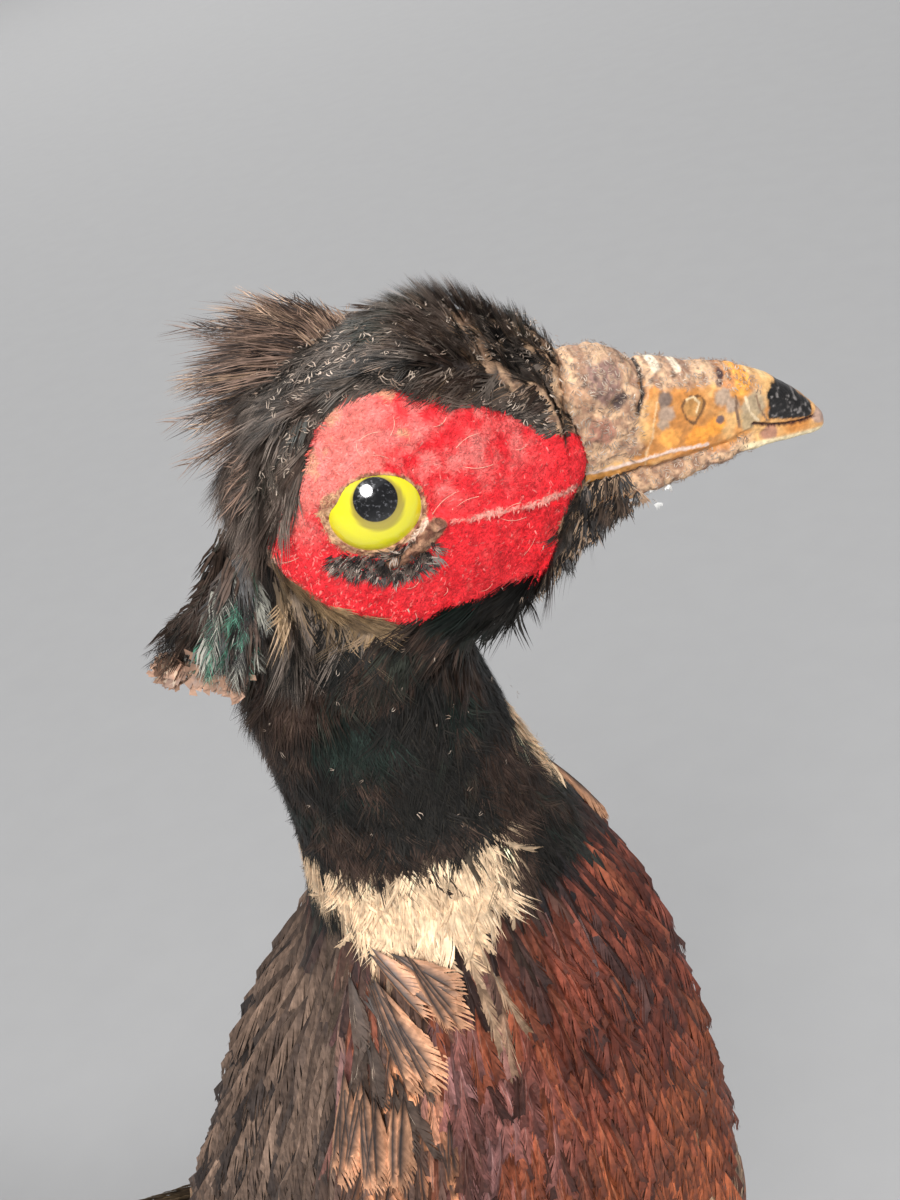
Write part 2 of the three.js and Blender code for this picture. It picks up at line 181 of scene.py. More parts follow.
def through(rows, count):
    """A smooth line through these rows, as count rows evenly spread over its parameter."""
    rows = np.asarray(rows, float)
    padded = np.vstack((2 * rows[0] - rows[1], rows, 2 * rows[-1] - rows[-2]))
    at = np.linspace(0, len(rows) - 1, count)
    start = np.minimum(at.astype(int), len(rows) - 2)
    t = (at - start)[:, None]
    p0, p1, p2, p3 = (padded[start + k] for k in range(4))
    second = 2 * p0 - 5 * p1 + 4 * p2 - p3
    third = 3 * p1 - p0 - 3 * p2 + p3
    return 0.5 * (2 * p1 + (p2 - p0) * t + second * t**2 + third * t**3)


def even(rows, count):
    """The line through these points, as count points at even distances."""
    line = through(rows, 400)
    run = np.concatenate(((0,), np.cumsum(np.linalg.norm(np.diff(line, axis=0), axis=1))))
    at = np.linspace(0, run[-1], count)
    return np.stack([np.interp(at, run, column) for column in line.T], -1)


def edge_distance(places, edge):
    """The distance in the plane to a closed outline, negative inside it."""
    x, y = places[:, :1], places[:, 1:]
    x0, y0 = edge.T
    x1, y1 = np.roll(edge, -1, 0).T
    dx, dy = x1 - x0, y1 - y0
    t = np.clip(((x - x0) * dx + (y - y0) * dy) / (dx * dx + dy * dy), 0, 1)
    far = np.hypot(x - x0 - t * dx, y - y0 - t * dy).min(1)
    with np.errstate(divide="ignore", invalid="ignore"):
        crosses = ((y0 > y) != (y1 > y)) & (x < x0 + (y - y0) * dx / dy)
    return np.where(crosses.sum(1) % 2 == 1, -far, far)


def line_distance(places, line):
    """The distance in the plane, ahead and up, to an open line."""
    x, y = places[:, :1], places[:, -1:]
    line = np.array(line, float)
    x0, y0 = line[:-1].T
    dx, dy = np.diff(line, axis=0).T
    t = np.clip(((x - x0) * dx + (y - y0) * dy) / (dx * dx + dy * dy), 0, 1)
    return np.hypot(x - x0 - t * dx, y - y0 - t * dy).min(1)


FACE_OUTLINE = through(FACE_EDGE + FACE_EDGE[:1], 90)[:-1]


def face_distance(q):
    """The distance in from or out to the red face's edge, for points in the head's frame."""
    ragged = 0.7 * (noise(q, 1.6, 5) - 0.5) + 0.4 * (noise(q, 0.7, 6) - 0.5)
    return np.where(np.abs(q[:, 1]) > 4, edge_distance(q[:, [0, 2]], FACE_OUTLINE) + ragged, 9.0)


# ---- Meshes --------------------------------------------------------------------------------------


def mesh_object(name, points, faces, material, colours, uv=None, smooth=True, replaced=()):
    """A mesh piece that rides with the bird, with colours by vertex and its own map."""
    mesh = bpy.data.meshes.new(name)
    faces = np.asarray(faces, np.int32)
    mesh.vertices.add(len(points))
    mesh.vertices.foreach_set("co", (points * MM).astype(np.float32).ravel())
    mesh.loops.add(faces.size)
    mesh.loops.foreach_set("vertex_index", faces.ravel())
    mesh.polygons.add(len(faces))
    mesh.polygons.foreach_set("loop_start", np.arange(0, faces.size, faces.shape[1], dtype=np.int32))
    mesh.polygons.foreach_set("use_smooth", np.full(len(faces), smooth))
    mesh.update(calc_edges=True)
    for label, values in colours.items():
        layer = mesh.color_attributes.new(label, "FLOAT_COLOR", "POINT")
        filled = np.ones((len(points), 4), np.float32)
        filled[:, :3] = np.clip(values, 0, 1)
        layer.data.foreach_set("color", filled.ravel())
    if uv is not None:
        by_corner = uv[faces.ravel()].astype(np.float32)
        mesh.uv_layers.new(name="OFBake").data.foreach_set("uv", by_corner.ravel())
    mesh.materials.append(material)
    made = bpy.data.objects.new(name, mesh)
    bpy.context.scene.collection.objects.link(made)
    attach(made, "root")
    if replaced:
        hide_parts(*replaced)


def node_mesh(names):
    """The faces of these nodes as one list of points and polygons, with the node of each polygon."""
    points, faces, owner = [], [], []
    for name in names:
        mesh = frame["nodes"][name].data
        start = len(points)
        points += [v.co / MM for v in mesh.vertices]
        faces += [[start + i for i in p.vertices] for p in mesh.polygons]
        owner += [name] * len(mesh.polygons)
    return points, faces, owner


def remeshed(points, faces, voxel):
    """One closed surface over these solids, as points and quads."""
    mesh = bpy.data.meshes.new("rough")
    mesh.from_pydata(points, [], faces)
    lump = bpy.data.objects.new("rough", mesh)
    bpy.context.scene.collection.objects.link(lump)
    modifier = lump.modifiers.new("remesh", "REMESH")
    modifier.mode = "VOXEL"
    modifier.voxel_size = voxel
    made = lump.evaluated_get(bpy.context.evaluated_depsgraph_get()).to_mesh()
    found = np.empty(len(made.vertices) * 3, np.float32)
    made.vertices.foreach_get("co", found)
    quads = np.empty(len(made.loops), np.int32)
    made.loops.foreach_get("vertex_index", quads)
    bpy.data.objects.remove(lump)
    bpy.data.meshes.remove(mesh)
    return outer_shell(found.reshape(-1, 3).astype(float), quads.reshape(-1, 4))


def outer_shell(points, faces):
    """The largest connected piece alone."""
    label = np.arange(len(points))
    while True:
        least = label[faces].min(1)
        following = label.copy()
        for column in faces.T:
            np.minimum.at(following, column, least)
        following = following[following]
        if (following == label).all():
            break
        label = following
    kept = label == np.bincount(label).argmax()
    place = np.cumsum(kept) - 1
    return points[kept], place[faces[kept[faces[:, 0]]]]


def edges_of(faces):
    """Each edge once, as a sorted pair of vertex numbers."""
    pairs = np.vstack([faces[:, [k, (k + 1) % faces.shape[1]]] for k in range(faces.shape[1])])
    return np.unique(np.sort(pairs, 1), axis=0)


def halved(points, quads):
    """Every quad cut into four."""
    edges = edges_of(quads)
    keys = edges[:, 0] * len(points) + edges[:, 1]
    sides = [np.sort(quads[:, [k, (k + 1) % 4]], 1) for k in range(4)]
    middle = [len(points) + np.searchsorted(keys, side[:, 0] * len(points) + side[:, 1]) for side in sides]
    centre = len(points) + len(edges) + np.arange(len(quads))
    faces = [np.stack((quads[:, k], middle[k], centre, middle[k - 1]), -1) for k in range(4)]
    return np.vstack((points, points[edges].mean(1), points[quads].mean(1))), np.vstack(faces)


def relaxed(values, edges, rounds, pull=0.5):
    """Values by vertex, each drawn towards its neighbours' mean a number of times."""
    values = np.array(values, float).reshape(len(values), -1)
    first, second = edges.T
    count = len(values)
    degree = np.bincount(edges.ravel(), minlength=count)

    def around(v):
        return np.bincount(first, v[second], count) + np.bincount(second, v[first], count)

    for _ in range(rounds):
        total = np.stack([around(v) for v in values.T], -1)
        values += pull * (total / degree[:, None] - values)
    return values


def normals_of(points, faces):
    """Outward normals by vertex."""
    across = points[faces[:, 2]] - points[faces[:, 0]]
    other = points[faces[:, -1]] - points[faces[:, 1]]
    facing = np.cross(across, other) if faces.shape[1] == 4 else np.cross(-other, across)
    total = np.zeros_like(points)
    for column in faces.T:
        for axis in range(3):
            total[:, axis] += np.bincount(column, facing[:, axis], len(points))
    return unit(total)


# ---- Lie of the feathers -------------------------------------------------------------------------

SPINE_LINE = even(np.array(SPINE, float) + HEAD_AT, 260)
SPINE_WAY = unit(np.gradient(SPINE_LINE, axis=0))
SPINE_SIDE = unit(np.cross((0, 0, 1), SPINE_WAY) + np.array((0, 1e-3, 0)))


def in_parts(work, points, size=4000):
    """Does the work on a few thousand points at a time."""
    return np.concatenate([work(points[k : k + size]) for k in range(0, len(points), size)])


def unwrapped(points):
    """Each point's place along the spine and round it, both from 0 to 1."""

    def part(p):
        away = p[:, None] - SPINE_LINE[None]
        nearest = (away**2).sum(-1).argmin(1)
        rows = np.arange(len(p))
        out = away[rows, nearest]
        side = SPINE_SIDE[nearest]
        up = np.cross(SPINE_WAY[nearest], side)
        angle = np.arctan2((out * side).sum(1), (out * up).sum(1))
        return np.stack((nearest / len(SPINE_LINE), angle / (2 * math.pi) + 0.5), -1)

    return in_parts(part, points)


def body_way(points):
    """The spine's direction, blended over its nearby stretch."""

    def part(p):
        far = ((p[:, None] - SPINE_LINE[None]) ** 2).sum(-1)
        weight = np.exp(-(far - far.min(1, keepdims=True)) / 18**2)
        return unit(weight @ SPINE_WAY)

    return in_parts(part, points)


def head_way(points):
    """Back over the crown and cheek, then down behind the face; back and down at the throat."""
    q = to_head(points)
    behind = ramp(8, -17, q[:, 0])
    below = ramp(-8, -20, q[:, 2])
    fall = np.radians(4 + 78 * behind + 42 * below * (1 - behind))
    way = np.stack((-np.cos(fall), 0.12 * np.sign(q[:, 1]), -np.sin(fall)), -1)
    return way @ HEAD_AXES.T


def lie(points, normals):
    """The feathers' direction at these points of the skin."""
    height = points[:, 2] - HEAD_AT[2]
    on_head = ramp(-36, HEAD_END, height) * (points[:, 0] > 20)
    way = mix(body_way(points), head_way(points), on_head)
    leg = ramp(-250, -275, height) * (np.abs(points[:, 1]) > 15) * (points[:, 0] > -50)
    way = mix(way, (-0.25, 0, -1.0), leg)
    return square(way, normals)


# ---- Markings ------------------------------------------------------------------------------------


def rounded(points):
    """Degrees round the neck and breast: 0 in front, negative on the bird's right."""
    return np.degrees(np.arctan2(points[:, 1], points[:, 0] - NECK_X))


def blotches(points, size, share, seed):
    """1 in lumps of this size that cover about this share, and 0 between them."""
    return ramp(-0.03, 0.03, rough(points, size, seed) - 0.5 - (0.5 - share) * 0.42)


# Feather colours: the blade's own, its edge's and its shaft's, and how strong the edge is.
PLUMAGE = {
    "neck_brown": ((0.046, 0.026, 0.019), (0.026, 0.016, 0.011), (0.07, 0.045, 0.03), 0.4),
    "neck_green_sheen": ((0.010, 0.024, 0.018), (0.008, 0.014, 0.011), (0.01, 0.02, 0.015), 0.4),
    "breast": ((0.150, 0.036, 0.019), (0.055, 0.017, 0.011), (0.22, 0.085, 0.055), 0.6),
    "side": ((0.215, 0.085, 0.070), (0.095, 0.040, 0.037), (0.33, 0.19, 0.16), 0.55),
    "breast_bright": ((0.225, 0.062, 0.030), (0.08, 0.022, 0.014), (0.28, 0.12, 0.07), 0.5),
    "side_purple_and_sheen": ((0.225, 0.105, 0.095), (0.10, 0.048, 0.044), (0.33, 0.20, 0.18), 0.5),
    "breast_dark": ((0.060, 0.024, 0.018), (0.03, 0.013, 0.010), (0.12, 0.06, 0.04), 0.5),
    "breast_rust": ((0.27, 0.072, 0.026), (0.07, 0.02, 0.012), (0.34, 0.14, 0.07), 0.5),
    "band": ((0.030, 0.018, 0.015), (0.018, 0.012, 0.010), (0.05, 0.03, 0.02), 0.5),
    "streak": ((0.42, 0.27, 0.17), (0.2, 0.12, 0.07), (0.55, 0.42, 0.28), 0.5),
    "mantle": ((0.104, 0.068, 0.048), (0.050, 0.034, 0.025), (0.26, 0.18, 0.13), 0.6),
    "mantle_pale": ((0.155, 0.102, 0.072), (0.07, 0.048, 0.036), (0.30, 0.21, 0.15), 0.5),
    "mantle_dark": ((0.040, 0.029, 0.023), (0.02, 0.015, 0.012), (0.10, 0.07, 0.05), 0.5),
    "shoulder_dull": ((0.115, 0.068, 0.050), (0.05, 0.03, 0.024), (0.05, 0.035, 0.03), 0.6),
    "shoulder_orange": ((0.60, 0.265, 0.13), (0.46, 0.20, 0.10), (0.035, 0.028, 0.026), 0.5),
    "back": ((0.13, 0.045, 0.024), (0.30, 0.20, 0.11), (0.05, 0.03, 0.02), 0.8),
    "back_scaly": ((0.05, 0.034, 0.024), (0.28, 0.2, 0.12), (0.2, 0.15, 0.09), 0.8),
    "rump": ((0.105, 0.095, 0.055), (0.20, 0.15, 0.09), (0.05, 0.05, 0.035), 0.6),
    "flank": ((0.36, 0.155, 0.045), (0.03, 0.014, 0.012), (0.32, 0.16, 0.06), 0.75),
    "belly": ((0.035, 0.022, 0.016), (0.02, 0.014, 0.011), (0.05, 0.03, 0.02), 0.4),
    "vent": ((0.16, 0.07, 0.035), (0.05, 0.03, 0.02), (0.12, 0.06, 0.03), 0.5),
    "thigh": ((0.075, 0.045, 0.028), (0.04, 0.025, 0.017), (0.11, 0.07, 0.04), 0.4),
    "ring": ((0.85, 0.61, 0.39), (0.58, 0.40, 0.25), (0.90, 0.71, 0.50), 0.6),
}


def markings(points, jitter=0.0):
    """The coat's colours by place: its own, its edge's and its shaft's, and how strong the edge is."""
    height = points[:, 2] - HEAD_AT[2] + jitter
    angle = rounded(points) + 3 * jitter
    wide = np.abs(angle)
    rows = len(points)

    def flat(*colour):
        return np.tile(np.array(colour), (rows, 1))

    base, rim, shaft = flat(*DARK), flat(0.016, 0.012, 0.010), flat(0.02, 0.016, 0.012)
    edge = np.full(rows, 0.35)

    def paint(where, kind):
        nonlocal base, rim, shaft, edge
        own, outer, middle, strength = PLUMAGE[kind]
        base, rim, shaft = mix(base, own, where), mix(rim, outer, where), mix(shaft, middle, where)
        edge = edge * (1 - where) + strength * where

    # Black head and neck: brown streaks and a painted green sheen.
    paint(0.8 * blotches(points, 7, 0.46, 11), "neck_brown")
    paint(0.6 * blotches(points, 5, 0.16, 13), "neck_green_sheen")
    # Breast: rusty chestnut in front, darker and purple at the sides: partly the feathers' own purple,
    # partly a painted pinkish purple sheen.
    body = ramp(RING_FOOT + 1, RING_FOOT - 3, height)
    single = spot_value(np.floor(points / 2.5), 16)
    paint(body, "breast")
    side = ramp(30, 60, wide)
    # The sides' colours are partly a painted pinkish purple sheen.
    paint(body * side, "side")
    paint(body * (single < 0.22), "breast_bright")
    paint(body * side * (single > 0.74), "side_purple_and_sheen")
    paint(body * (np.abs(single - 0.5) < 0.07), "breast_dark")
    low = ramp(-90, -104, height) * ramp(62, 48, wide) * (0.4 + 0.6 * blotches(points, 9, 0.5, 17))
    paint(body * low * 0.85, "breast_rust")
    # A dark band under the ring and a few pale streaks.
    band = ramp(-70, -65, height) * ramp(-104, -96, angle) * ramp(-20, -34, angle)
    paint(body * band, "band")
    streak = ramp(-74, -72, height) * ramp(-65, -67, height) * ramp(-57, -54, angle) * ramp(-40, -43, angle)
    paint(body * streak * (single > 0.5), "streak")
    # Mantle and back: dull grey brown with pale shafts, then maroon scapulars and an olive rump.
    mantle = body * ramp(97, 106, wide)
    paint(mantle, "mantle")
    paint(mantle * (single < 0.3), "mantle_pale")
    paint(mantle * (single > 0.8), "mantle_dark")
    # Shoulder: orange tan feathers with a dark stripe each, among dull ones.
    shoulder = body * shoulder_share(points, height, wide)
    paint(shoulder, "shoulder_dull")
    paint(shoulder * (single > 0.36), "shoulder_orange")
    back = ramp(-112, -148, height + 22 * (noise(points, 13, 25) - 0.5)) * ramp(90, 110, wide)
    scaly = blotches(points, 16, 0.4, 19)
    paint(back, "back")
    paint(back * scaly, "back_scaly")
    paint(ramp(-214, -228, height) * ramp(-60, -90, points[:, 0]), "rump")
    # Flanks: golden buff with a dark spot at each tip. Belly: dull brown black.
    flank = ramp(-122, -140, height) * ramp(98, 84, wide) * ramp(14, 30, np.abs(points[:, 1]))
    flank = flank * ramp(-92, -84, points[:, 0]) * (0.35 + 0.65 * blotches(points, 8, 0.6, 23))
    paint(flank, "flank")
    belly = ramp(-185, -215, height) * ramp(34, 16, np.abs(points[:, 1])) * ramp(-150, -120, points[:, 0])
    paint(ramp(0, 1, belly) * (points[:, 2] < SPINE_LINE[0, 2] - 190), "belly")
    paint(ramp(-96, -120, points[:, 0]) * ramp(-262, -274, height), "vent")
    thigh = ramp(-248, -262, height) * ramp(16, 24, np.abs(points[:, 1])) * (points[:, 0] > -72)
    paint(thigh, "thigh")
    paint(ring_share(height, angle), "ring")
    return base, rim, shaft, edge


def shoulder_share(points, height, wide):
    """Two patches by the front edge of the mantle where the feathers are striped."""
    ragged = 9 * (noise(points, 7, 22) - 0.5)
    angle = wide + ragged
    upper = ramp(68, 74, angle) * ramp(95, 89, angle) * ramp(-90, -85, height + ragged)
    lower = ramp(80, 85, angle) * ramp(102, 97, angle) * ramp(-79, -83, height) * ramp(-106, -98, height)
    return np.maximum(upper, lower)


# The ring's upper and lower edges: degrees round the neck and heights from the head's middle.
RING_UPPER = (
    (-180, -51), (-120, -50.5), (-88, -50.5), (-58, -50.5), (-22, -50), (24, -39), (70, -44), (180, -51),
)
RING_LOWER = (
    (-180, -57), (-108, -58), (-88, -62.5), (-58, -64), (-30, -60), (24, -50), (70, -57), (180, -57),
)


def ring_share(height, angle):
    """How much of the cream ring is here: it's broken in front."""
    top = np.interp(angle, *np.array(RING_UPPER).T)
    foot = np.interp(angle, *np.array(RING_LOWER).T)
    broken = ramp(-26, -20, angle) * ramp(27, 21, angle)
    return ramp(0, 1.2, top - height) * ramp(0, 1.2, height - foot) * (1 - broken)


# ---- Skin ----------------------------------------------------------------------------------------


def coat_depth(points, labels, edges):
    """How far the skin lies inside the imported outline."""
    depth = np.array([COAT_DEPTH.get(label.split("_")[0], 0.0) for label in labels])
    lower = ramp(-84, -130, points[:, 2] - HEAD_AT[2])
    depth = np.where(labels == "trunk", COAT_DEPTH["neck"] + TRUNK_DEEPER * lower, depth)
    q = to_head(points)
    bare = (labels == "head") & (face_distance(q) < 1.0)
    depth[bare | np.char.startswith(labels, "wattle")] = 0.15
    depth[(labels == "head") & (q[:, 0] > 22)] = 0.4
    depth = np.where((labels == "head") & ~bare, np.maximum(depth, 4.6 * ramp(-8, -15, q[:, 0])), depth)
    return relaxed(depth, edges, 6)[:, 0]


def skin_base():
    """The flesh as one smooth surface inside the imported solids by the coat's depth."""
    cad_points, cad_faces, owner = node_mesh(FLESH)
    points, quads = remeshed(cad_points, cad_faces, SKIN_VOXEL)
    tree = BVHTree.FromPolygons(cad_points, cad_faces)
    labels = np.array([owner[tree.find_nearest(p)[2]] for p in points])
    edges = edges_of(quads)
    legs = np.char.startswith(labels, "shank") | np.char.startswith(labels, "foot")
    stiff = relaxed(legs.astype(float), edges, 2)[:, 0]
    soft = relaxed(points, edges, SKIN_ROUNDS)
    kept = relaxed(points, edges, 2)
    points = mix(soft, kept, stiff)
    depth = coat_depth(points, labels, edges)
    points = points - normals_of(points, quads) * depth[:, None]
    return relaxed(points, edges, 1, 0.3), quads


def refined(points, quads, close, closer):
    """The mesh with its faces cut twice where close says, and once more where closer says, as triangles."""
    mesh = bpy.data.meshes.new("fine")
    mesh.from_pydata(points, [], quads)
    bm = bmesh.new()
    bm.from_mesh(mesh)
    bpy.data.meshes.remove(mesh)
    for where in (close, close, closer):
        places = np.array([v.co for v in bm.verts])
        chosen = where(places)
        bm.verts.index_update()
        edges = [e for e in bm.edges if chosen[e.verts[0].index] and chosen[e.verts[1].index]]
        bmesh.ops.subdivide_edges(bm, edges=edges, cuts=1, use_grid_fill=True)
    bmesh.ops.triangulate(bm, faces=bm.faces)
    bm.verts.index_update()
    places = np.array([v.co for v in bm.verts])
    triangles = np.array([[v.index for v in f.verts] for f in bm.faces])
    bm.free()
    return places, triangles


def opening(q):
    """1 on the edge of the opening between the lids, less inside it and more outside."""
    reach = np.hypot(q[:, 0] / EYE_OPENING[0], q[:, 2] / EYE_OPENING[1])
    angle = np.degrees(np.arctan2(q[:, 2], q[:, 0]))
    notch = 0.09 * np.exp(-(((angle - 146) / 18) ** 2)) + 0.06 * np.exp(-(((angle + 60) / 22) ** 2))
    return reach + notch


def near_face(points, margin):
    q = to_head(points)
    by_face = (np.abs(q[:, 1]) > 4.5) & (edge_distance(q[:, [0, 2]], FACE_OUTLINE) < margin)
    return (by_face | (q[:, 0] > 17)) & (np.abs(q[:, 2]) < 24)


def near_eye(points):
    q = to_head(points)
    return (np.abs(q[:, 1]) > 8) & (np.hypot(q[:, 0], q[:, 2]) < 10.5)


# The pale seam that runs from the lower lid to the corner of the bill.
FACE_SEAM = ((6.4, -4.0), (8.4, -3.8), (10.7, -4.2), (13.6, -4.9), (16.6, -5.3), (19.6, -5.8), (24, -6.2))


def pouch_share(q):
    """The dried lower lid: a low crescent under the eye's front half."""
    angle = np.degrees(np.arctan2(q[:, 2], q[:, 0]))
    round_it = ramp(-102, -88, angle) * ramp(-16, -30, angle)
    return np.exp(-(((opening(q) - 1.40) / 0.26) ** 2)) * round_it


def corner_share(q):
    """The patch of dried skin behind the face."""
    return np.exp(-(((q[:, 0] + 14.2) / 1.7) ** 2 + ((q[:, 2] + 3.6) / 4.2) ** 2)) * (np.abs(q[:, 1]) > 5)


def forehead_gap(q):
    """The distance to the bare strip that slants over the forehead by the bill."""
    return np.abs((q[:, 0] - 18.5) * 0.83 + (q[:, 2] - 10.5) * 0.56)


def sculpted(points, normals):
    """The face's folds: raised flocked skin, lids round the eyes and the dried lower lid."""
    q = to_head(points)
    side = np.where(q[:, 1] < 0, -1, 1)
    inside = ramp(0.35, -0.35, face_distance(q))
    grain = wobble(q, 1.1, 21)
    lumps = noise(q, 4.5, 24) - 0.5
    crust = ramp(19, 23, q[:, 0]) * (1 - inside) * (1.5 * wobble(q, 2.2, 25) + 0.8 * wobble(q, 0.8, 26))
    lift = inside * (0.45 + 0.22 * grain + 0.5 * lumps) + crust
    points = points + normals * lift[:, None]
    q = to_head(points)
    away = np.hypot(q[:, 0], q[:, 2])
    ball = EYE_OUT + np.sqrt(np.maximum(EYE_RADIUS**2 - away**2, 0))
    reach = opening(q)
    folds = 0.12 * np.sin(9 * reach + 5 * noise(q, 3, 27)) + 0.22 * wobble(q, 1.3, 29)
    rim = away / np.maximum(reach, 1)
    slope = EYE_OUT + np.sqrt(np.maximum(EYE_RADIUS**2 - rim**2, 0)) - 0.5 * (away - rim)
    lid = np.where(reach > 1, slope, ball) + 0.25 - 1.8 * ramp(1.0, 0.88, reach)
    lid = lid + folds * ramp(0.98, 1.06, reach)
    out = np.abs(q[:, 1])
    held = ramp(1.95, 1.06, reach) * (away < 11)
    pouch = 1.5 * pouch_share(q)
    corner = 1.1 * corner_share(q) * (0.5 + rough(q, 1.3, 23))
    out = out * (1 - held) + lid * held + (pouch * (1 + 0.6 * grain) + corner) * (reach > 1)
    out = np.where(reach > 1, np.maximum(out, ball + 0.18), out)
    seam = line_distance(q, FACE_SEAM) + 0.3 * wobble(q, 0.8, 28)
    out = out + 0.3 * ramp(0.6, 0.15, seam) * (q[:, 0] < 23)
    changed = (np.abs(q[:, 1]) > 6) & (away < 24)
    q[:, 1] = np.where(changed, side * out, q[:, 1])
    return from_head(q)


# Bald tan spots on the red face: ahead, up and size.
BALD_SPOTS = ((-2.2, 11.5, 2.4), (0.6, 13, 1.6), (-5.6, 7.4, 2.0), (5.8, 7.9, 1.3), (5.1, 12.3, 1.5))


def face_colour(points, colour):
    """The skin's colour with the red face, the lids and the dried skin round them."""
    q = to_head(points)
    inside = ramp(0.3, -0.3, face_distance(q))
    red = mix((0.76, 0.016, 0.026), (0.84, 0.045, 0.055), rough(q, 3, 31))
    worn = ramp(0.35, 0.62, rough(q, 2.2, 33) * 0.55 + 0.55 * ramp(9, -5, q[:, 0]) * ramp(-3, 6, q[:, 2]))
    red = mix(red, (0.84, 0.22, 0.18), 0.9 * worn)
    faded = ramp(-5, 3, q[:, 2]) * ramp(0.3, 0.75, rough(q, 1.5, 32)) * ramp(24, 16, q[:, 0])
    red = mix(red, (0.86, 0.26, 0.23), 0.75 * faded)
    for ahead, up, size in BALD_SPOTS:
        patch = np.exp(-((q[:, 0] - ahead) ** 2 + (q[:, 2] - up) ** 2) / size**2)
        bald = ramp(0.55, 0.85, patch + 1.5 * wobble(q, 0.9, 35))
        red = mix(red, (0.66, 0.33, 0.20), 0.85 * bald)
    colour = mix(colour, red, inside)
    reach = opening(q)
    by_eye = (np.abs(q[:, 1]) > 8) & (np.hypot(q[:, 0], q[:, 2]) < 10.5)
    ragged = 0.16 * wobble(q, 1.1, 37)
    low_rim = 0.10 * ramp(1, -3, q[:, 2])
    angle = np.degrees(np.arctan2(q[:, 2], q[:, 0])) % 360
    notch = 0.16 * np.exp(-(((angle - 158) / 20) ** 2))
    lid = ramp(1.10, 1.03, reach + ragged - low_rim - notch) * by_eye
    lid_skin = mix((0.26, 0.08, 0.05), (0.66, 0.40, 0.22), patchy(q, 0.7, 38))
    colour = mix(colour, lid_skin, lid)
    pouch = pouch_share(q)
    pouch_skin = mix((0.16, 0.065, 0.04), (0.46, 0.25, 0.15), patchy(q, 0.9, 39))
    colour = mix(colour, pouch_skin, ramp(0.35, 0.55, pouch + 0.25 * wobble(q, 0.8, 34)) * by_eye)
    thread = np.abs(reach - 1.13) + 0.07 * (rough(q, 0.6, 40) - 0.4)
    upper = by_eye * (angle > 300) * (angle < 336)
    colour = mix(colour, (0.80, 0.60, 0.46), ramp(0.06, 0.03, thread) * upper)
    seam = line_distance(q, FACE_SEAM) + 0.9 * (rough(q, 1.3, 28) - 0.45)
    colour = mix(colour, (0.82, 0.42, 0.34), 0.85 * ramp(0.42, 0.12, seam) * inside)
    dry = mix((0.72, 0.54, 0.42), (0.42, 0.25, 0.16), patchy(q, 1.2, 41))
    colour = mix(colour, dry, ramp(0.35, 0.6, corner_share(q) + 0.3 * wobble(q, 1.5, 36)))
    # Bare orange tan skin between the forehead's feathers and the bill.
    strip = forehead_gap(q) + 1.6 * wobble(q, 2.0, 42)
    front = np.maximum(ramp(19.5, 23, q[:, 0] + 4 * wobble(q, 2.5, 43)), ramp(1.6, 0.8, strip))
    front = front * (inside < 0.5)
    tan = mix((0.20, 0.115, 0.075), (0.62, 0.40, 0.24), ramp(0.25, 0.75, rough(q, 1.1, 44)))
    tan = mix(tan, DARK, ramp(0.60, 0.68, rough(q, 1.6, 45)))
    return mix(colour, tan, 0.95 * front)


def leg_colour(points):
    return mix((0.20, 0.16, 0.12), (0.33, 0.27, 0.20), rough(points, 2.5, 51))


def make_skin():
    """The sculpted and coloured skin, which stands for all the flesh pieces."""
    points, quads = skin_base()
    points, faces = refined(points, quads, lambda p: near_face(p, 2.6), near_eye)
    points = sculpted(points, normals_of(points, faces))
    base = markings(points)[0]
    scaled = ramp(LEG_TOP, LEG_TOP - 4, points[:, 2])
    # Under the coat the skin takes the coat's colours darkened to 0.6: painted shade in the gaps between the
    # feathers.
    colour = mix(0.6 * base, leg_colour(points), scaled)
    colour = face_colour(points, colour)
    flocked = ramp(0.3, -0.3, face_distance(to_head(points)))
    masks = np.stack((flocked, scaled, np.zeros(len(points))), -1)
    colours = {"Tint": colour, "Masks": masks}
    mesh_object("skin", points, faces, skin_material(), colours, replaced=FLESH)
    return points, faces


# ---- Materials -----------------------------------------------------------------------------------


